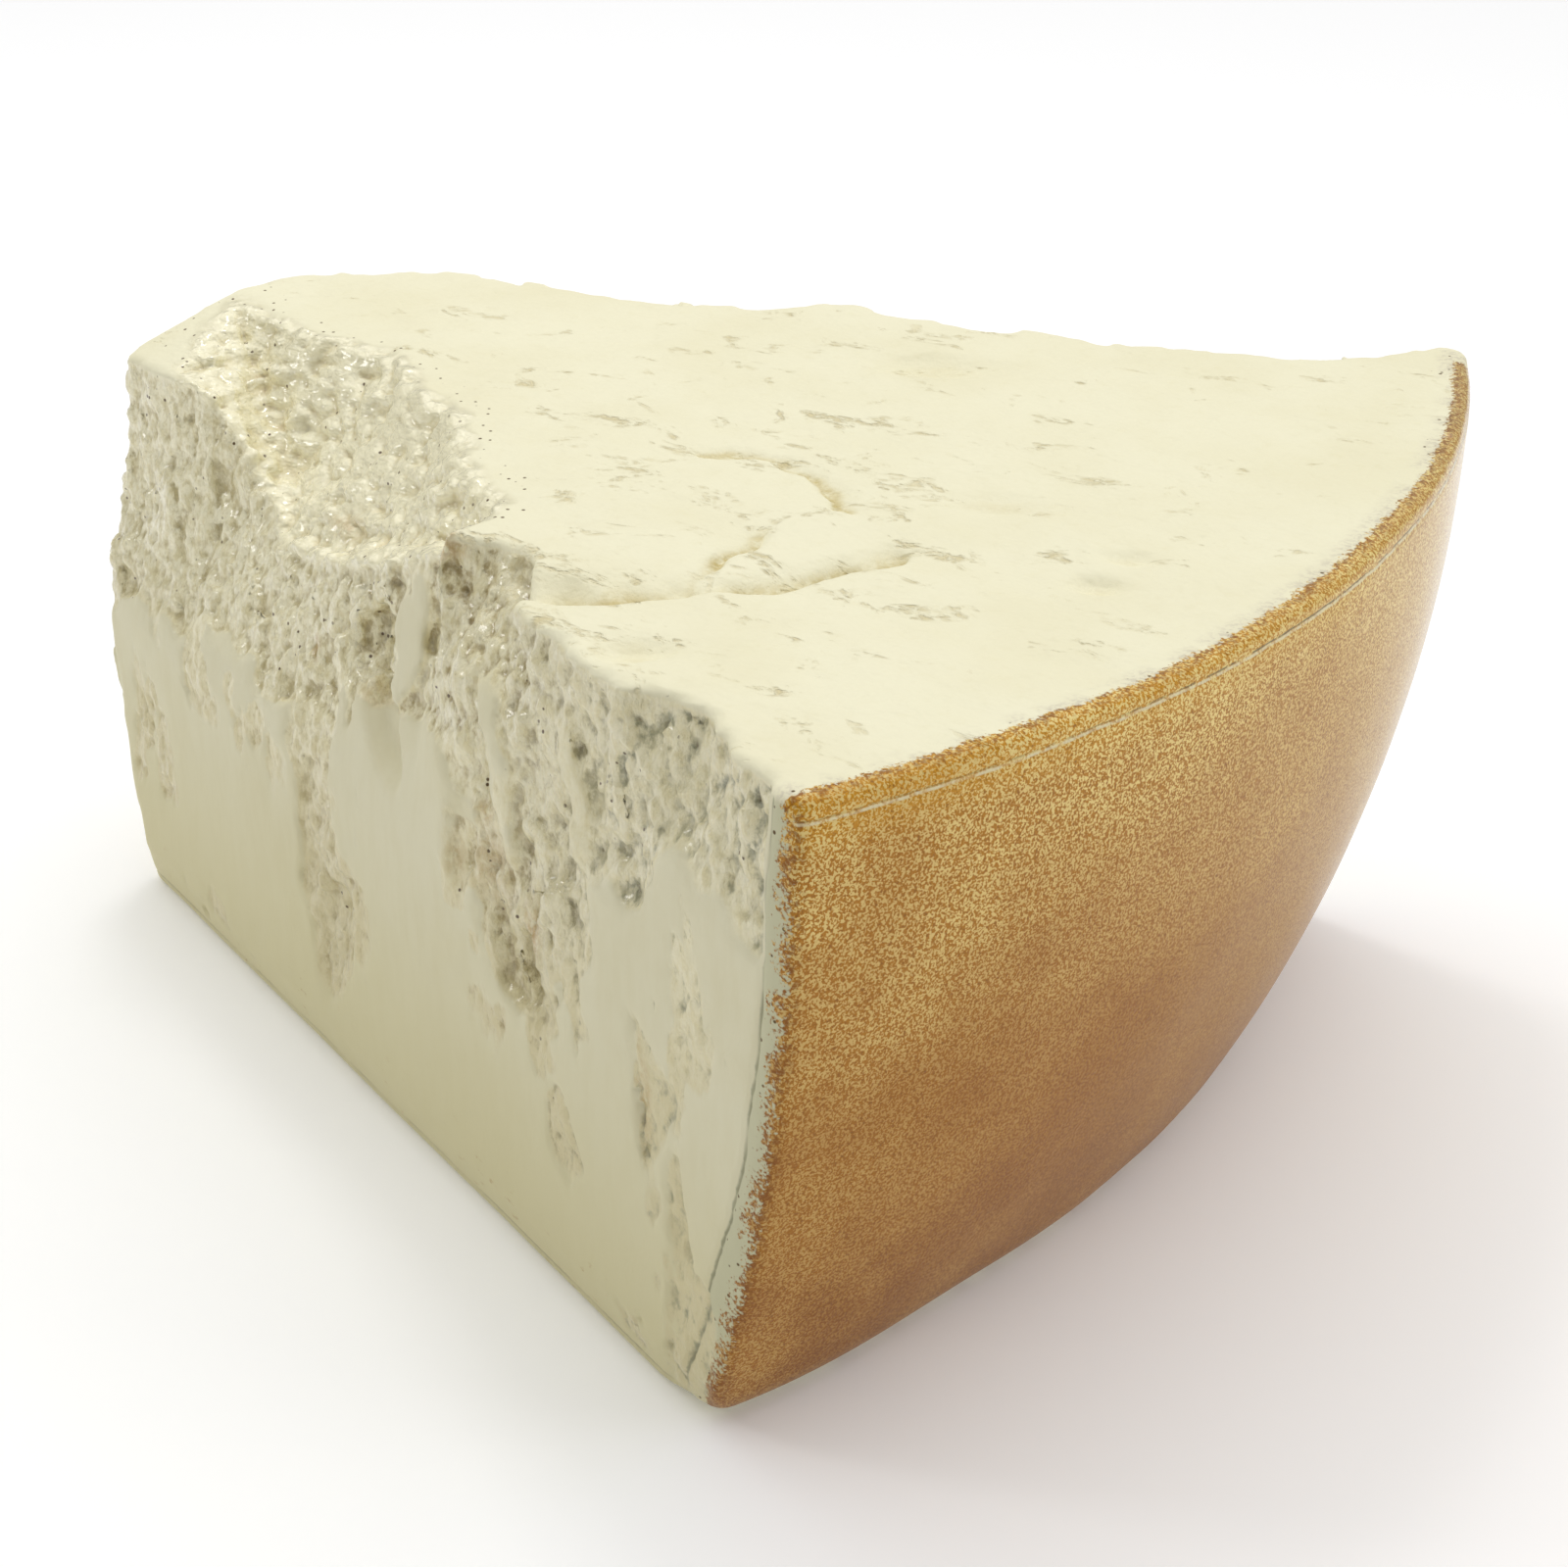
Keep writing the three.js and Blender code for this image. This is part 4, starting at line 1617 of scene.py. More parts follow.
# ---- the finish; names on the left say what each colour, step and noise is for
@dataclass(frozen=True)
class TopLook:
    """The pale top with tan smudges, painted shade in its cracks and dents, and its soiled edge.
    """

    tint: Tint = Tint(244, 239, 208)
    shade: Tint = Tint(236, 229, 192)
    smudge: Tint = Tint(216, 201, 152)
    # painted shade: the tan colour that darkens the top's cracks and dents
    fissure: Tint = Tint(204, 186, 126)
    soil: Tint = Tint(204, 195, 174)
    brink: Tint = Tint(208, 200, 162)
    shading: Cloud = Cloud(26.0, Step(0.35, 0.75, 0.0, 0.5))
    mottling: Cloud = Cloud(2.2, Step(0.5, 0.8, 0.0, 0.3), 4.0, 0.6)
    wrinkled: Triple = (14.0, -42.0, 103.0)
    wrinkled_stretch: Triple = (1.0, 1.4, 0.3)
    wrinkled_reach: Step = Step(25.0, 80.0, 0.055, 0.0)
    smudges: Cloud = Cloud(10.0, Step(0.59, 0.72), 4.0, 0.68, 0.6, (0.8, 1.3, 1.0))
    smudge_gaps: Cloud = Cloud(1.8, Step(0.38, 0.62), squeeze=(0.8, 1.3, 1.0))
    smudge_share: float = 0.75
    crack_shade_reach: Step = Step(0.25, 0.95)
    crack_shade_gaps: Cloud = Cloud(1.6, Step(0.3, 0.6, 0.3, 1.0), 3.0, 0.6)
    edge_narrower: Step = Step(0.0, 50.0, 3.2, 1.0)
    edge_reach: Step = Step(2.8, 6.5, 1.0, 0.0)
    edge_gaps: Cloud = Cloud(6.0, Step(0.38, 0.56))
    edge_grime: Cloud = Cloud(0.9, Step(0.45, 0.6, 0.3, 1.0), 2.0, 0.6)
    edge_share: float = 0.7
    soil_from: Step = Step(0.0, 50.0)

    def smudged(self, tree: ShaderTree) -> Wire:
        """Small shallow dents scattered over the top, more of them about its cracks.

        Args:
            tree: where the nodes go.

        Returns:
            1 in the dents.
        """
        about = tree.distance(self.wrinkled, self.wrinkled_stretch).by(self.wrinkled_reach)
        dents = (tree.noise(self.smudges) + about).by(self.smudges.step)
        return dents * tree.cloud(self.smudge_gaps)

    def colour(self, tree: ShaderTree) -> bpy.types.NodeSocket:
        """Colour of the top.

        Args:
            tree: where the nodes go.

        Returns:
            The colour.
        """
        x, _, _ = tree.axes()
        rim, fissure = tree.masks(Mask.RIM, Mask.FISSURE)
        shading = tree.cloud(self.shading) + tree.cloud(self.mottling)
        colour = tree.mix(shading, self.tint, self.shade)
        colour = tree.mix(self.smudged(tree) * self.smudge_share, colour, self.smudge)
        # painted shade in the cracks and dents of the top
        cracks = fissure.by(self.crack_shade_reach) * tree.cloud(self.crack_shade_gaps)
        colour = tree.mix(cracks, colour, self.fissure)
        edge = (rim * x.by(self.edge_narrower)).by(self.edge_reach) * tree.cloud(self.edge_gaps)
        edge = edge * tree.cloud(self.edge_grime) * self.edge_share
        return tree.mix(edge, colour, tree.mix(x.by(self.soil_from), self.brink, self.soil))


@dataclass(frozen=True)
class CrumbLook:
    """The crumbly bands with painted shade low down; their pits dark with painted shade and brown
    deposit: tan at the tip, brown, and grey at the rind.
    """

    tint: Tint = Tint(236, 228, 192)
    bright: Tint = Tint(251, 244, 210)
    shade: Tint = Tint(228, 217, 172)
    # painted shade: the crumb is darker and tanner low down, where less light falls
    low: Tint = Tint(214, 202, 156)
    # pit colours: brown deposit with painted shade in the pits
    pit_pale: Tint = Tint(196, 182, 134)
    pit_brown: Tint = Tint(166, 146, 96)
    pit_grey: Tint = Tint(136, 136, 108)
    pit_deep: Tint = Tint(104, 84, 46)
    dimmer: Step = Step(-40.0, 30.0)
    lower: Step = Step(40.0, 74.0, 0.85, 0.0)
    browner: Step = Step(-50.0, 0.0)
    greyer: Step = Step(15.0, 60.0)
    flakes: Cloud = Cloud(1.3, Step(0.42, 0.62, 0.0, 0.8), 3.0, 0.65, 0.0, (1.0, 1.0, 0.6))
    flake_height: float = 1.3
    cavity_share: float = 1.2
    pits: Step = Step(0.0, 0.5)
    pit_patches: Cloud = Cloud(7.0, Step(0.36, 0.58, 0.15, 0.9), 3.0, 0.6)
    pit_gaps: Cloud = Cloud(0.9, Step(0.3, 0.6, 0.5, 1.0), 2.0, 0.6)
    deep_pits: Step = Step(0.5, 1.1)
    deep_from: Step = Step(10.0, 60.0, 0.12, 0.62)

    def colour(self, tree: ShaderTree) -> bpy.types.NodeSocket:
        """Colour of the crumbly bands.

        Args:
            tree: where the nodes go.

        Returns:
            The colour.
        """
        x, _, z = tree.axes()
        (cavity,) = tree.masks(Mask.CAVITY)
        flakes = tree.noise(self.flakes)
        colour = tree.mix(x.by(self.dimmer), self.bright, self.tint)
        colour = tree.mix(flakes.by(self.flakes.step), colour, self.shade)
        # painted shade, darker towards the bottom
        colour = tree.mix(z.by(self.lower), colour, self.low)
        pit = tree.mix(x.by(self.browner), self.pit_pale, self.pit_brown)
        pit = tree.mix(x.by(self.greyer), pit, self.pit_grey)
        # brown deposit and painted shade: darker where the mesh lies below its smoothed surface
        depth = cavity * self.cavity_share + flakes.swing(self.flake_height)
        share = depth.by(self.pits) * tree.cloud(self.pit_patches) * tree.cloud(self.pit_gaps)
        colour = tree.mix(share, colour, pit)
        return tree.mix(depth.by(self.deep_pits) * x.by(self.deep_from), colour, self.pit_deep)


@dataclass(frozen=True)
class HollowLook:
    """The bright wall and floor of the bowl, golden in their pits with a yellow tint and painted
    shade.
    """

    tint: Tint = Tint(252, 245, 209)
    pit: Tint = Tint(232, 218, 168)
    deep: Tint = Tint(212, 186, 126)
    flakes: Cloud = Cloud(1.5, rough=0.6, squeeze=(1.0, 1.0, 2.0))
    flake_height: float = 0.8
    pits: Step = Step(0.0, 0.5, 0.0, 0.7)
    deep_pits: Step = Step(0.4, 0.9, 0.0, 0.6)

    def colour(self, tree: ShaderTree) -> bpy.types.NodeSocket:
        """Colour of the bowl.

        Args:
            tree: where the nodes go.

        Returns:
            The colour.
        """
        (cavity,) = tree.masks(Mask.CAVITY)
        # yellow tint and painted shade: darker and more golden where the mesh lies below its
        # smoothed surface
        depth = cavity + tree.noise(self.flakes).swing(self.flake_height)
        colour = tree.mix(depth.by(self.pits), self.tint, self.pit)
        return tree.mix(depth.by(self.deep_pits), colour, self.deep)


@dataclass(frozen=True)
class Stain:
    """A brown stain: its centre in the part's frame, its stretch, radius and strength."""

    at: Triple
    stretch: Triple
    radius: float
    strength: float


@dataclass(frozen=True)
class Stains:
    """The brown stains, each a soft ball about its own place."""

    tint: Tint = Tint(190, 158, 96)
    ragged: Cloud = Cloud(2.0, rough=0.65)
    ragged_by: float = 3.0
    core: float = 0.3
    mottling: Cloud = Cloud(1.6, Step(0.3, 0.6), rough=0.65)
    stains: tuple[Stain, ...] = (
        Stain((1.3, -58.9, 101.0), (1.6, 1.0, 1.0), 3.4, 0.8),
        Stain((-41.6, -34.2, 86.1), (2.6, 1.0, 0.8), 3.6, 0.6),
        Stain((29.7, -77.6, 56.0), (0.8, 1.0, 2.2), 4.0, 0.9),
        Stain((56.1, -87.7, 53.4), (0.6, 1.0, 2.6), 2.4, 0.5),
        Stain((-18.0, -55.7, 70.3), EVEN, 6.0, 0.55),
        Stain((-10.6, -58.8, 65.6), EVEN, 5.0, 0.6),
        Stain((9.7, -69.0, 59.1), (0.8, 1.0, 1.2), 4.5, 0.7),
        Stain((17.0, -72.0, 69.8), (2.0, 1.0, 0.7), 3.0, 0.7),
        Stain((-37.3, -46.8, 71.0), (0.7, 1.0, 1.2), 3.0, 0.7),
        Stain((-17.3, -59.8, 49.3), (0.8, 1.0, 1.2), 3.2, 0.5),
        Stain((-90.2, -20.6, 20.0), EVEN, 4.0, 0.5),
        Stain((18.0, -73.0, 63.0), (0.8, 1.0, 0.8), 13.0, 0.5),
        Stain((-14.0, -57.0, 70.0), (0.8, 1.0, 0.8), 10.0, 0.7),
        Stain((57.0, -88.0, 46.0), (0.9, 1.0, 4.0), 2.6, 0.9),
    )

    def over(self, tree: ShaderTree, under: Any) -> bpy.types.NodeSocket:
        """Adds the stains.

        Args:
            tree: where the nodes go.
            under: the colour below.

        Returns:
            The colour.
        """
        ragged = tree.noise(self.ragged).swing(self.ragged_by)
        share = None
        for stain in self.stains:
            reach = Step(self.core, stain.radius, stain.strength, 0.0)
            near = (tree.distance(stain.at, stain.stretch) + ragged).by(reach)
            share = near if share is None else share.larger(near)
        hollow, crumb = tree.masks(Mask.HOLLOW, Mask.CRUMB)
        share = share * hollow.larger(crumb) * tree.cloud(self.mottling)
        return tree.mix(share, under, self.tint)


@dataclass(frozen=True)
class PasteLook:
    """The cuts of the cast paste with their lines, pinholes and dashes, and all upon them."""

    seam: Seam
    top: TopLook = TopLook()
    crumb: CrumbLook = CrumbLook()
    hollow: HollowLook = HollowLook()
    stains: Stains = Stains()
    tint: Tint = Tint(227, 221, 190)
    shade: Tint = Tint(219, 211, 174)
    # painted shade: the cut grows darker and yellower towards the foot
    low: Tint = Tint(214, 205, 158)
    strip: Tint = Tint(196, 194, 160)
    groove: Tint = Tint(140, 138, 108)
    pinhole: Tint = Tint(96, 74, 38)
    dash: Tint = Tint(182, 148, 84)
    shading: Cloud = Cloud(26.0, Step(0.4, 0.7, 0.0, 0.4))
    streaks: Cloud = Cloud(3.0, Step(0.35, 0.7, 0.0, 0.3), 3.0, 0.6, 0.0, (1.0, 1.0, 0.3))
    lower: Step = Step(8.0, 60.0, 0.7, 0.0)
    crumb_from: Step = Step(0.1, 0.6)
    strip_border: Pair = (-0.3, 0.2)
    strip_share: float = 0.8
    crease: Step = Step(0.1, 0.45, 1.0, 0.0)
    crease_gaps: Cloud = Cloud(9.0, Step(0.35, 0.6, 0.3, 1.0))
    foot_line: Step = Step(0.1, 0.4, 1.0, 0.0)
    foot_line_gaps: Cloud = Cloud(14.0, Step(0.4, 0.6, 0.0, 0.6))
    line_share: float = 0.8
    hole_spacing: float = 1.7
    hole_size: Step = Step(0.12, 0.2, 1.0, 0.0)
    hole_choice: Step = Step(0.42, 0.46)
    holes_on_top: Step = Step(1.5, 7.0, 1.0, 0.0)
    holes_in_hollow: float = 0.5
    holes_in_crumb: float = 0.45
    holes_on_strip: Step = Step(3.8, 5.4, 0.8, 0.0)
    hole_groups: Cloud = Cloud(6.0, Step(0.74, 0.82), 2.0)
    hole_bias: float = 0.5
    dash_heights: Step = Step(9.0, 16.0, 0.65, 0.0)
    dashes: Cloud = Cloud(2.2, Step(0.6, 0.7), 4.0, 0.65, 0.0, (0.7, 0.7, 1.2))
    dash_groups: Cloud = Cloud(12.0, Step(0.45, 0.6), 2.0)

    def lines(self, tree: ShaderTree) -> Wire:
        """The crease beside the rind and the line along the foot.

        Args:
            tree: where the nodes go.

        Returns:
            1 in the lines.
        """
        _, _, z = tree.axes()
        (corner,) = tree.masks(Mask.CORNER)
        crease = corner.off(self.seam.beside).by(self.crease)
        crease = crease * z.by(Step(*self.seam.beside_from)) * tree.cloud(self.crease_gaps)
        foot = z.off(self.seam.low).by(self.foot_line) * tree.cloud(self.foot_line_gaps)
        return crease.larger(foot)

    def cut(self, tree: ShaderTree, upright: Wire) -> bpy.types.NodeSocket:
        """Colour of the cuts.

        Args:
            tree: where the nodes go.
            upright: 1 off the top.

        Returns:
            The colour.
        """
        _, _, z = tree.axes()
        crumb, corner = tree.masks(Mask.CRUMB, Mask.CORNER)
        shading = tree.cloud(self.streaks) + tree.cloud(self.shading)
        cut = tree.mix(shading, self.tint, self.shade)
        # painted shade, darker and yellower towards the foot
        cut = tree.mix(z.by(self.lower), cut, self.low)
        start, end = (self.seam.beside + border for border in self.strip_border)
        strip = corner.by(Step(start, end, self.strip_share, 0.0))
        strip = strip * z.by(Step(*self.seam.beside_from)) * upright
        cut = tree.mix(strip, cut, self.strip)
        cut = tree.mix(crumb.by(self.crumb_from), cut, self.crumb.colour(tree))
        return tree.mix(self.lines(tree) * upright * self.line_share, cut, self.groove)

    def pinholes(self, tree: ShaderTree, upright: Wire) -> Wire:
        """Pinholes along the edges of the top and the bowl, in the crumb and on the strip.

        Args:
            tree: where the nodes go.
            upright: 1 off the top.

        Returns:
            1 in the pinholes.
        """
        hollow, crumb, level, rim, corner = tree.masks(
            Mask.HOLLOW, Mask.CRUMB, Mask.LEVEL, Mask.RIM, Mask.CORNER
        )
        distance, number = tree.spots(self.hole_spacing)
        holes = distance.by(self.hole_size) * number.by(self.hole_choice)
        edge = rim.by(self.holes_on_top) * (level + hollow * self.holes_in_hollow)
        edge = edge.larger(crumb * self.holes_in_crumb)
        edge = edge.larger(corner.by(self.holes_on_strip) * upright)
        where = tree.noise(self.hole_groups) + edge * self.hole_bias
        return holes * where.by(self.hole_groups.step)

    def colour(self, tree: ShaderTree) -> bpy.types.NodeSocket:
        """Colour of everything but the painted rind.

        Args:
            tree: where the nodes go.

        Returns:
            The colour.
        """
        _, _, z = tree.axes()
        hollow, level = tree.masks(Mask.HOLLOW, Mask.LEVEL)
        upright = 1.0 - level
        colour = tree.mix(level, self.cut(tree, upright), self.top.colour(tree))
        colour = tree.mix(hollow, colour, self.hollow.colour(tree))
        colour = self.stains.over(tree, colour)
        colour = tree.mix(self.pinholes(tree, upright), colour, self.pinhole)
        dashes = z.by(self.dash_heights) * upright * tree.cloud(self.dashes)
        return tree.mix(dashes * tree.cloud(self.dash_groups), colour, self.dash)


@dataclass(frozen=True)
class RindLook:
    """The painted rind: fine crooked flecks on gold above and brown below, with painted sheen to
    the right.
    """

    seam: Seam
    height: float
    fleck: Tint = Tint(236, 214, 140)
    fleck_low: Tint = Tint(184, 136, 60)
    gold: Tint = Tint(184, 124, 24)
    brown: Tint = Tint(152, 96, 28)
    low: Tint = Tint(132, 76, 14)
    band: Tint = Tint(204, 146, 28)
    dark: Tint = Tint(126, 82, 30)
    # painted sheen: the paler colour of the rind's right and upper part
    far: Tint = Tint(204, 162, 92)
    seam_light: Tint = Tint(228, 220, 184)
    seam_dark: Tint = Tint(98, 94, 68)
    worms: Cloud = Cloud(0.38, Step(0.49, 0.55), 1.0, 0.5, 0.5)
    worm_gaps: Step = Step(0.34, 0.42, 0.7, 0.0)
    grit: Cloud = Cloud(0.4, Step(0.4, 0.6), 2.0, 0.7)
    brown_heights: Step = Step(35.0, 100.0, 0.65, 0.0)
    brown_left: Step = Step(-95.0, -30.0)
    brown_left_heights: Step = Step(70.0, 100.0, 0.25, 0.0)
    brown_patches: Cloud = Cloud(24.0, Step(0.35, 0.7, 0.0, 0.35), rough=0.6)
    low_heights: Step = Step(5.0, 60.0, 0.8, 0.0)
    low_patches: Step = Step(0.3, 0.7)
    band_heights: Pair = (-9.0, -2.0)
    band_left: Step = Step(-40.0, 70.0, 0.8, 0.0)
    sheen_right: Step = Step(-60.0, 50.0)
    sheen_heights: Step = Step(0.0, 60.0)
    sheen_on_ground: float = 0.55
    sheen_on_flecks: float = 0.7
    brown_flecks: float = 0.45
    strokes: Cloud = Cloud(0.9, Step(0.46, 0.6), 2.0)
    strokes_within: Step = Step(0.4, 2.6, 0.75, 0.0)
    seam_sway: Cloud = Cloud(5.0, detail=2.0)
    seam_sway_by: float = 0.5
    light_line: float = -0.3
    light_width: Step = Step(0.08, 0.26, 1.0, 0.0)
    light_gaps: Cloud = Cloud(2.0, Step(0.35, 0.55, 0.2, 0.8), 2.0)
    dark_line: float = 0.05
    dark_width: Step = Step(0.06, 0.22, 0.85, 0.0)
    dark_gaps: Cloud = Cloud(3.0, Step(0.35, 0.55), 2.0)
    dark_right: Step = Step(-70.0, -20.0, 0.4, 1.0)
    frays: Cloud = Cloud(5.0, rough=0.6)
    frays_by: float = 2.2
    specks: Cloud = Cloud(0.6, detail=2.0, rough=0.6)
    specks_by: float = 3.2
    painted_from: Step = Step(-0.25, 0.3)

    def colour(self, tree: ShaderTree) -> bpy.types.NodeSocket:
        """Colour of the painted rind.

        Args:
            tree: where the nodes go.

        Returns:
            The colour.
        """
        _, y, z = tree.axes()
        (paint,) = tree.masks(Mask.PAINT)
        worms, patches = tree.noise(self.worms), tree.noise(self.brown_patches)
        brown = z.by(self.brown_heights) + y.by(self.brown_left) * z.by(self.brown_left_heights)
        brown = (brown + patches.by(self.brown_patches.step)).smaller(1.0)
        ground = tree.mix(brown, self.gold, self.brown)
        low = z.by(self.low_heights) * patches.by(self.low_patches)
        ground = tree.mix(low, ground, self.low)
        band = z.by(Step(*(self.height + h for h in self.band_heights))) * y.by(self.band_left)
        ground = tree.mix(band, ground, self.band)
        # painted sheen: the rind grows paler towards the right and the top
        far = y.by(self.sheen_right) * z.by(self.sheen_heights)
        ground = tree.mix(far * self.sheen_on_ground, ground, self.far)
        fleck = tree.mix(brown, self.fleck, self.fleck_low)
        fleck = tree.mix(far * self.sheen_on_flecks, fleck, self.fleck)
        flecks = worms.by(self.worms.step) * (1.0 - brown * self.brown_flecks)
        colour = tree.mix(flecks, ground, fleck)
        colour = tree.mix(worms.by(self.worm_gaps) * tree.cloud(self.grit), colour, self.dark)
        strokes = paint.by(self.strokes_within) * tree.cloud(self.strokes)
        return tree.mix(strokes, colour, self.low)

    def with_seam(self, tree: ShaderTree, under: Any) -> bpy.types.NodeSocket:
        """Adds the thin light and dark lines of the seam below the top.

        Args:
            tree: where the nodes go.
            under: the colour below.

        Returns:
            The colour.
        """
        _, y, z = tree.axes()
        (rind,) = tree.masks(Mask.RIND)
        above = z - (self.height - self.seam.below_top)
        above = above + tree.noise(self.seam_sway).swing(self.seam_sway_by)
        light = above.off(self.light_line).by(self.light_width) * rind
        colour = tree.mix(light * tree.cloud(self.light_gaps), under, self.seam_light)
        dark = above.off(self.dark_line).by(self.dark_width) * rind
        dark = dark * tree.cloud(self.dark_gaps) * y.by(self.dark_right)
        return tree.mix(dark, colour, self.seam_dark)

    def painted(self, tree: ShaderTree) -> Wire:
        """Where the rind's colour covers, with ragged edges.

        Args:
            tree: where the nodes go.

        Returns:
            1 where it covers.
        """
        (paint,) = tree.masks(Mask.PAINT)
        frayed = paint + tree.noise(self.frays).swing(self.frays_by)
        return (frayed + tree.noise(self.specks).swing(self.specks_by)).by(self.painted_from)


@dataclass(frozen=True)
class ReliefLook:
    """Relief too fine for the mesh; depths are in millimetres."""

    wrinkles: Cloud = Cloud(2.2, detail=2.0, rough=0.5, squeeze=(1.0, 1.0, 1.6))
    wrinkle_depth: float = 0.9
    flakes: Cloud = Cloud(1.1, rough=0.62, squeeze=(1.0, 1.0, 0.5))
    flake_depth: float = 0.7
    flake_least: float = 0.06
    lumps: Cloud = Cloud(7.0, rough=0.6)
    lump_height: float = 2.0
    fine: Cloud = Cloud(0.9, rough=0.6)
    fine_on_cracks: float = 0.9
    fine_least: float = 0.1
    dent_depth: float = 0.35
    pores: Cloud = Cloud(0.5, detail=2.0, rough=0.6)
    pore_least: float = 0.1
    pores_on_paint: float = 0.6
    pore_depth: float = 0.12

    def normal(self, tree: ShaderTree, top: TopLook, painted: Wire) -> bpy.types.NodeSocket:
        """Surface normal with the relief.

        Args:
            tree: where the nodes go.
            top: the look of the top, whose smudges are dents.
            painted: where the rind's colour covers.

        Returns:
            The normal.
        """
        hollow, crumb, level, fissure = tree.masks(
            Mask.HOLLOW, Mask.CRUMB, Mask.LEVEL, Mask.FISSURE
        )
        wrinkles = tree.noise(self.wrinkles).swing(1.0) * hollow
        normal = tree.bump(wrinkles, self.wrinkle_depth)
        flakes = tree.noise(self.flakes).swing(1.0) * (crumb + self.flake_least)
        normal = tree.bump(flakes * (1.0 - hollow), self.flake_depth, normal)
        lumps = tree.noise(self.lumps).swing(self.lump_height) * level
        fine = tree.noise(self.fine).swing(1.0)
        fine = fine * (fissure * self.fine_on_cracks + self.fine_least)
        dents = lumps + fine - top.smudged(tree) * level
        normal = tree.bump(dents, self.dent_depth, normal)
        pores = tree.noise(self.pores) * (painted * self.pores_on_paint + self.pore_least)
        return tree.bump(pores, self.pore_depth, normal)


@dataclass(frozen=True)
class ReplicaFinish:
    """Varnished paste with a speckled rind, from masks on the mesh and the place alone."""

    seam: Seam
    height: float
    name: str = "cast_cheese_paste"
    relief: ReliefLook = ReliefLook()
    dull: float = 0.5
    dull_patches: Cloud = Cloud(3.0)
    dull_patches_by: float = 0.1
    crumb_polish: float = 0.24
    top_dulling: float = 0.04
    hollow_polish: float = 0.6
    paint_polish: float = 0.35
    varnish: float = 0.9
    crumb_varnish: float = 0.8
    rind_varnish: Step = Step(0.0, 90.0, 0.0, 0.8)
    varnish_roughness: float = 0.12
    specular: float = 0.25
    refraction: float = 1.5

    def roughness(self, tree: ShaderTree, painted: Wire) -> Wire:
        """Dull on the cuts, glossy in the bowl and the crumb and on the rind.

        Args:
            tree: where the nodes go.
            painted: where the rind's colour covers.

        Returns:
            The roughness.
        """
        hollow, crumb, level = tree.masks(Mask.HOLLOW, Mask.CRUMB, Mask.LEVEL)
        base = self.dull + tree.noise(self.dull_patches) * self.dull_patches_by
        base = base - crumb * self.crumb_polish + level * self.top_dulling
        return base * (1.0 - hollow * self.hollow_polish) * (1.0 - painted * self.paint_polish)

    def coat(self, tree: ShaderTree, painted: Wire) -> Wire:
        """Varnish in the bowl and the crumb, and more and more along the rind.

        Args:
            tree: where the nodes go.
            painted: where the rind's colour covers.

        Returns:
            The weight of the varnish.
        """
        _, y, _ = tree.axes()
        hollow, crumb = tree.masks(Mask.HOLLOW, Mask.CRUMB)
        gloss = hollow.larger(crumb * self.crumb_varnish) * (1.0 - painted)
        return gloss * self.varnish + painted * y.by(self.rind_varnish)

    def material(self) -> bpy.types.Material:
        """Makes the material.

        Returns:
            The material.
        """
        made = bpy.data.materials.new(self.name)
        made.use_nodes = True
        tree = ShaderTree(made)
        paste = PasteLook(self.seam)
        rind = RindLook(self.seam, self.height)
        painted = rind.painted(tree)
        colour = tree.mix(painted, paste.colour(tree), rind.colour(tree))
        inputs = {
            "Base Color": rind.with_seam(tree, colour),
            "Roughness": self.roughness(tree, painted),
            "Normal": self.relief.normal(tree, paste.top, painted),
            "Coat Weight": self.coat(tree, painted),
            "Coat Roughness": self.varnish_roughness,
            "Specular IOR Level": self.specular,
            "IOR": self.refraction,
            "Subsurface Weight": 0.0,
        }
        shader = made.node_tree.nodes["Principled BSDF"]
        for name, value in inputs.items():
            tree.feed(shader.inputs[name], value)
        return made


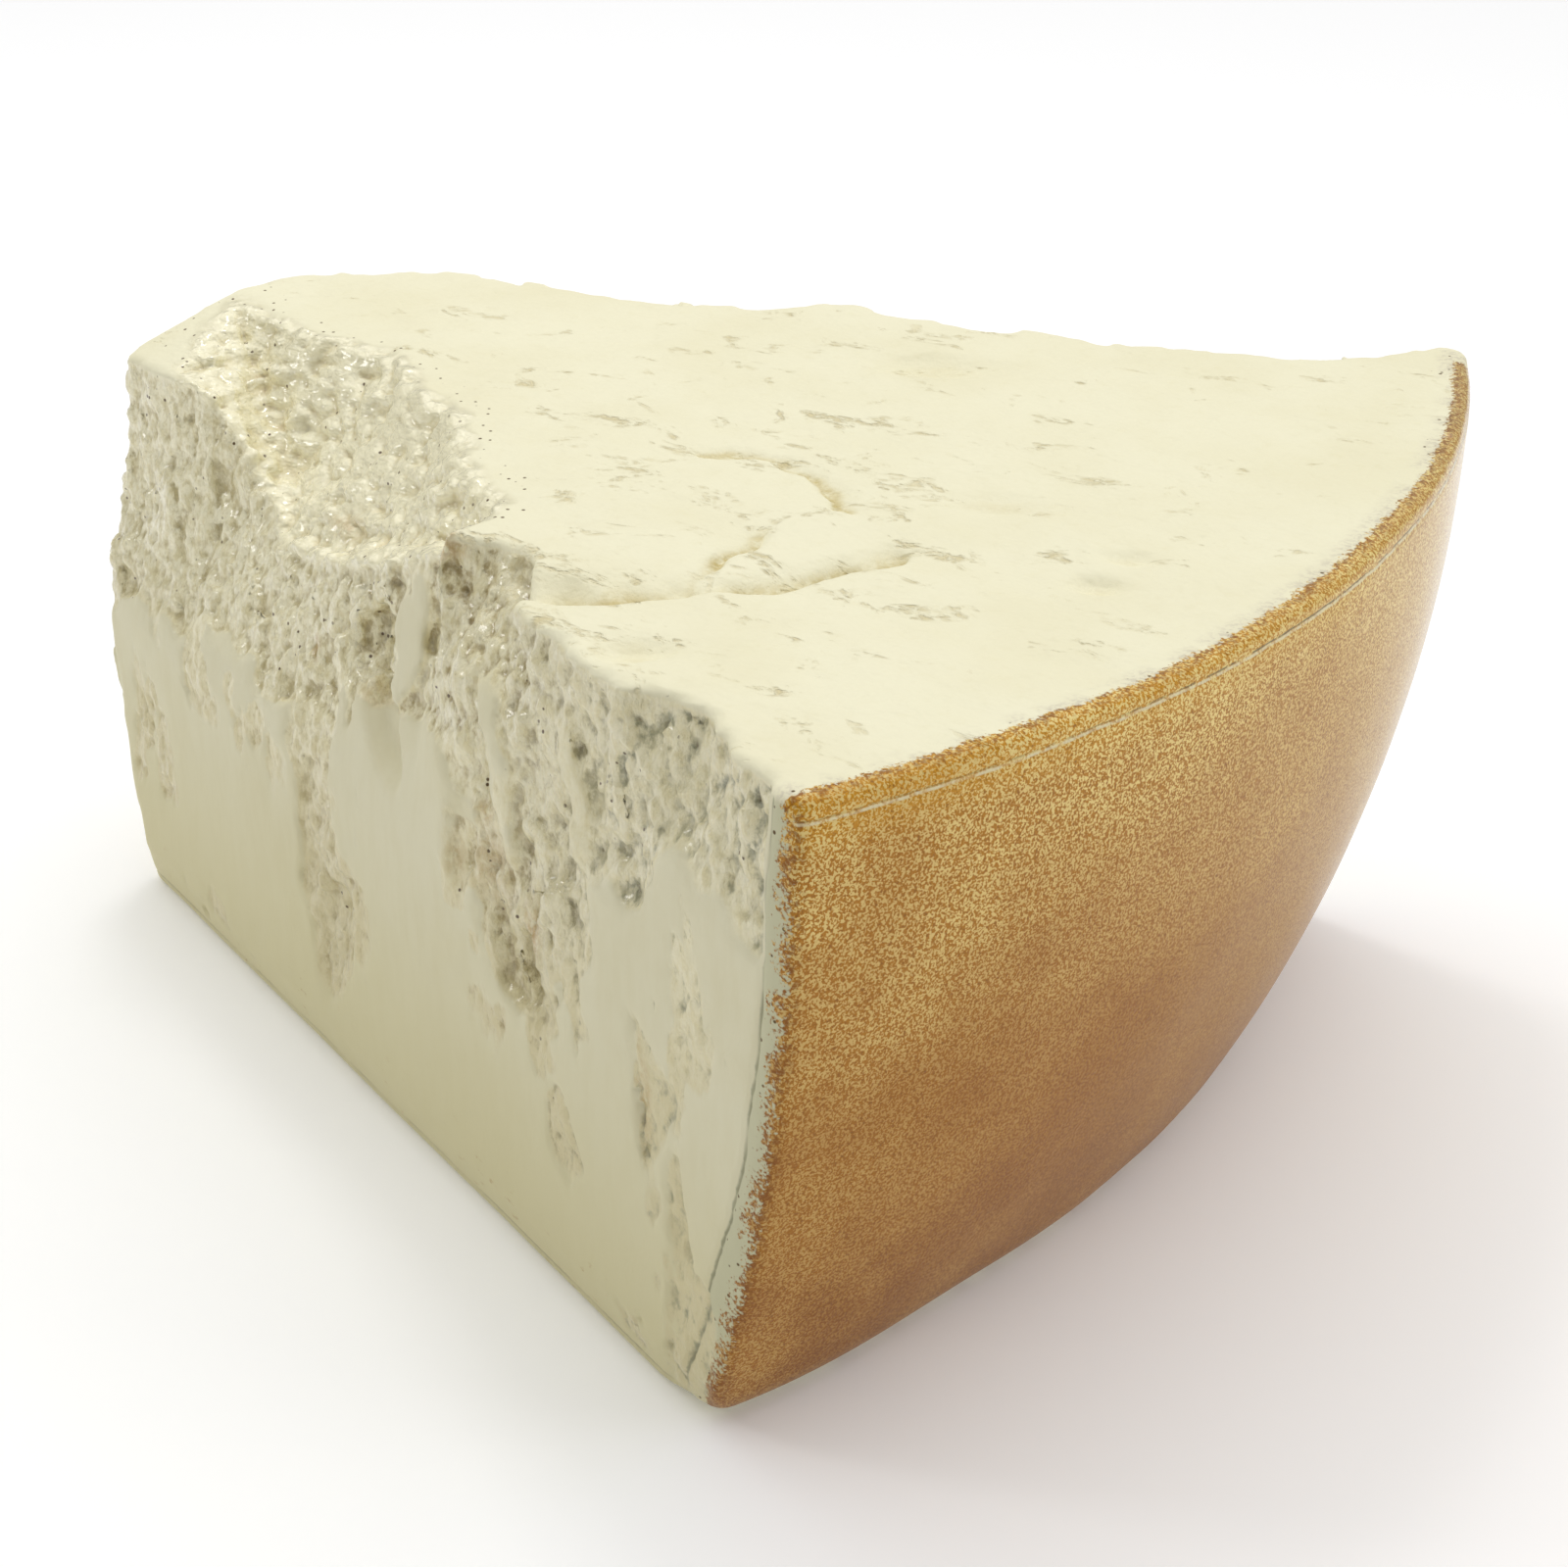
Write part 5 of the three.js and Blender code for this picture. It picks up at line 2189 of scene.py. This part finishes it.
# ---- the piece
@dataclass
class ParmesanChunk:
    """The chunk: one piece that stands for the solid.

    Attributes:
        form: its form.
        grain: the fine grain of its crumbled faces.
        seam: its parting lines.
        step: size of the grid's cells, in millimetres.
        most_triangles: the most triangles the piece has.
        low: lowest corner of the space the form lies in.
        high: highest corner of it.
        cavity_rounds: how often the surface is smoothed to tell pits from ridges.
    """

    form: ChunkForm = ChunkForm()
    grain: Grain = Grain()
    seam: Seam = Seam()
    step: float = 0.75
    quick_step: float = 1.3
    most_triangles: int = 196000
    low: Triple = (0.0, -108.0, -4.0)
    high: Triple = (232.0, 112.0, 112.0)
    cavity_rounds: int = 14

    def vertex_normals(self, vertices: Array, faces: Array) -> Array:
        """Outward normals of the vertices.

        Args:
            vertices: the vertices.
            faces: the four sided faces.

        Returns:
            Unit normals, one row each.
        """
        a, b, c, d = (vertices[faces[:, k]] for k in range(4))
        across = np.cross(c - a, d - b)
        normals = np.zeros_like(vertices)
        for k in range(4):
            for axis in range(3):
                normals[:, axis] += np.bincount(
                    faces[:, k], weights=across[:, axis], minlength=len(vertices)
                )
        return normals / (np.linalg.norm(normals, axis=1)[:, None] + TINY)

    def worked(self, vertices: Array, faces: Array) -> Array:
        """Vertices with the fine grain and the grooves worked in.

        Args:
            vertices: the vertices about the wheel's axis.
            faces: the four sided faces.

        Returns:
            The moved vertices.
        """
        place = tuple(vertices.T)
        zones = ZoneMap(self.form)(place)
        depth = self.grain.depth(place, zones)
        depth += self.seam.groove(place[2], self.form.height, zones)
        return vertices - self.vertex_normals(vertices, faces) * depth[:, None]

    def inside_box(self, vertices: Array, box: tuple[Vector, Vector]) -> Array:
        """Vertices kept inside the solid's box, in metres.

        Args:
            vertices: the vertices about the wheel's axis.
            box: lowest and highest corner of the box.

        Returns:
            The vertices in the part's frame.
        """
        moved = vertices.copy()
        moved[:, :2] += self.form.axis
        return np.clip(moved * MM, np.array(box[0]), np.array(box[1]))

    def mesh(self, vertices: Array, faces: Array) -> bpy.types.Mesh:
        """Makes a mesh.

        Args:
            vertices: the vertices, in metres.
            faces: the faces.

        Returns:
            The mesh.
        """
        made = bpy.data.meshes.new(PIECE)
        sides = faces.shape[1]
        made.vertices.add(len(vertices))
        made.vertices.foreach_set("co", vertices.astype(np.float32).ravel())
        made.loops.add(faces.size)
        made.loops.foreach_set("vertex_index", faces.astype(np.int32).ravel())
        made.polygons.add(len(faces))
        made.polygons.foreach_set("loop_start", np.arange(0, faces.size, sides, dtype=np.int32))
        made.update(calc_edges=True)
        made.validate()
        return made

    def thinned(self, piece: bpy.types.Object) -> None:
        """Takes triangles away where the surface is smooth.

        Args:
            piece: the piece, whose mesh is replaced.
        """
        count = sum(len(p.vertices) - 2 for p in piece.data.polygons)
        if count > self.most_triangles:
            thin = piece.modifiers.new("thin", "DECIMATE")
            thin.ratio = self.most_triangles / count
        evaluated = piece.evaluated_get(bpy.context.evaluated_depsgraph_get())
        lean = bpy.data.meshes.new_from_object(evaluated)
        piece.modifiers.clear()
        piece.data = lean

    def cavity(self, mesh: bpy.types.Mesh, place: Array) -> Array:
        """Depth of each vertex below the surface smoothed around it.

        Args:
            mesh: the mesh.
            place: its vertices in millimetres.

        Returns:
            The depths, positive in pits and negative on ridges.
        """
        ends = np.zeros(len(mesh.edges) * 2, np.int32)
        mesh.edges.foreach_get("vertices", ends)
        start, end = ends.reshape(-1, 2).T
        out = np.zeros(len(place) * 3, np.float32)
        mesh.vertex_normals.foreach_get("vector", out)
        count = len(place)
        near = np.bincount(start, minlength=count) + np.bincount(end, minlength=count)
        smooth = place.copy()
        for _ in range(self.cavity_rounds):
            total = [
                np.bincount(start, axis[end], count) + np.bincount(end, axis[start], count)
                for axis in smooth.T
            ]
            smooth = (smooth + np.stack(total, 1) / near[:, None]) / 2.0
        return ((smooth - place) * out.reshape(-1, 3)).sum(1)

    def store_masks(self, piece: bpy.types.Object) -> None:
        """Stores the kinds of surface on the mesh.

        Args:
            piece: the piece.
        """
        mesh = piece.data
        flat = np.zeros(len(mesh.vertices) * 3, np.float32)
        mesh.vertices.foreach_get("co", flat)
        place = flat.reshape(-1, 3).astype(float) / MM
        place[:, :2] -= self.form.axis
        zones = ZoneMap(self.form)(tuple(place.T))
        values = {mask: getattr(zones, mask.value) for mask in Mask if mask is not Mask.CAVITY}
        values[Mask.CAVITY] = self.cavity(mesh, place)
        for mask, value in values.items():
            layer = mesh.attributes.new(mask.value, "FLOAT", "POINT")
            layer.data.foreach_set("value", np.asarray(value, np.float32))

    def build(self) -> bpy.types.Object:
        """Builds the piece.

        Returns:
            The piece, without its finish.
        """
        step = self.step
        net = SurfaceNet(step, self.low, self.high)
        vertices, faces = net.build(self.form)
        log.info("surface of %d vertices at %.2f mm", len(vertices), step)
        vertices = self.worked(vertices, faces)
        mesh = self.mesh(self.inside_box(vertices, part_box(NODE)), faces)
        piece = bpy.data.objects.new(PIECE, mesh)
        bpy.context.scene.collection.objects.link(piece)
        self.thinned(piece)
        self.store_masks(piece)
        piece.data.polygons.foreach_set("use_smooth", [True] * len(piece.data.polygons))
        return piece

    def dress(self, piece: bpy.types.Object) -> None:
        """Gives the piece its finish and its place in the frame.

        Args:
            piece: the piece.
        """
        piece.data.materials.append(ReplicaFinish(self.seam, self.form.height).material())
        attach(piece, BODY)
        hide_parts(NODE)


# ---- the studio
@dataclass(frozen=True)
class Lamp:
    """A square soft light: place and aim in metres, side and power in watts."""

    name: str
    place: Triple
    aim: Triple
    side: float
    power: float

    def build(self) -> bpy.types.Object:
        """Makes the light.

        Returns:
            The light.
        """
        data = bpy.data.lights.new(self.name, "AREA")
        data.shape = "SQUARE"
        data.size = self.side
        data.energy = self.power
        lamp = bpy.data.objects.new(self.name, data)
        lamp.location = self.place
        aim = Vector(self.aim) - Vector(self.place)
        lamp.rotation_euler = aim.to_track_quat("-Z", "Y").to_euler()
        bpy.context.scene.collection.objects.link(lamp)
        return lamp


@dataclass(frozen=True)
class Dome:
    """A broad even light from far away: where it shines, its strength and its breadth."""

    name: str = "dome"
    shines: Triple = (0.1, -0.25, -1.0)
    strength: float = 2.0
    breadth: float = 100.0

    def build(self) -> bpy.types.Object:
        """Makes the light.

        Returns:
            The light.
        """
        data = bpy.data.lights.new(self.name, "SUN")
        data.energy = self.strength
        data.angle = math.radians(self.breadth)
        lamp = bpy.data.objects.new(self.name, data)
        lamp.rotation_euler = Vector(self.shines).to_track_quat("-Z", "Y").to_euler()
        bpy.context.scene.collection.objects.link(lamp)
        return lamp


@dataclass(frozen=True)
class Studio:
    """Pale floor, soft light and camera; the camera's place is in millimetres."""

    floor_side: float = 8.0
    floor_tint: Tint = Tint(251, 251, 251)
    floor_roughness: float = 0.9
    floor_glow: float = 0.1
    sky: float = 0.2
    dome: Dome = Dome()
    lamps: tuple[Lamp, ...] = (
        Lamp("lamp_above", (-0.3, 0.3, 0.95), (0.0, 0.0, 0.05), 0.16, 1.2),
        Lamp("lamp_left", (-0.65, -0.45, 0.5), (-0.05, 0.0, 0.07), 0.16, 0.85),
        Lamp("lamp_right", (1.0, 0.35, 0.35), (0.1, 0.0, 0.05), 0.5, 2.0),
    )
    camera_place: Triple = (252.23, -341.41, 254.0)
    camera_right: Triple = (0.8222, 0.5691, 0.0096)
    camera_down: Triple = (0.2639, -0.3661, -0.8924)
    lens: float = 66.66
    sensor: float = 36.0

    def floor(self) -> bpy.types.Object:
        """Makes the floor.

        Returns:
            The floor.
        """
        half = self.floor_side / 2
        mesh = bpy.data.meshes.new("floor")
        rim = [(-half, -half, 0.0), (half, -half, 0.0), (half, half, 0.0), (-half, half, 0.0)]
        mesh.from_pydata(rim, [], [(0, 1, 2, 3)])
        finish = bpy.data.materials.new("studio_floor")
        finish.use_nodes = True
        shader = finish.node_tree.nodes["Principled BSDF"]
        shader.inputs["Base Color"].default_value = self.floor_tint.light
        shader.inputs["Roughness"].default_value = self.floor_roughness
        shader.inputs["Emission Color"].default_value = WHITE
        shader.inputs["Emission Strength"].default_value = self.floor_glow
        mesh.materials.append(finish)
        made = bpy.data.objects.new("floor", mesh)
        bpy.context.scene.collection.objects.link(made)
        return made

    def world(self) -> None:
        """Sets an even pale surrounding."""
        world = bpy.data.worlds.new("studio")
        world.use_nodes = True
        background = world.node_tree.nodes["Background"]
        background.inputs["Color"].default_value = WHITE
        background.inputs["Strength"].default_value = self.sky
        bpy.context.scene.world = world

    def camera(self) -> bpy.types.Object:
        """Makes the camera.

        Returns:
            The camera.
        """
        data = bpy.data.cameras.new("camera")
        data.lens = self.lens
        data.sensor_width = self.sensor
        data.sensor_fit = "HORIZONTAL"
        right = Vector(self.camera_right).normalized()
        down = Vector(self.camera_down)
        down = (down - right * down.dot(right)).normalized()
        back = right.cross(-down)
        turn = Matrix((right, -down, back)).transposed().to_4x4()
        made = bpy.data.objects.new("camera", data)
        made.matrix_world = Matrix.Translation(Vector(self.camera_place) * MM) @ turn
        bpy.context.scene.collection.objects.link(made)
        bpy.context.scene.camera = made
        return made

    def build(self) -> None:
        """Sets up floor, surroundings, lamps and camera."""
        self.floor()
        self.world()
        self.dome.build()
        for lamp in self.lamps:
            lamp.build()
        self.camera()
        bpy.context.scene.view_settings.view_transform = "Standard"


def main() -> None:
    """Builds the studio and the chunk."""
    logging.basicConfig(level=logging.INFO, format="%(name)s: %(message)s")
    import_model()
    Studio().build()
    chunk = ParmesanChunk()
    piece = chunk.build()
    chunk.dress(piece)
    log.info("%s: %d faces", piece.name, len(piece.data.polygons))


if __name__ == "__main__":
    main()
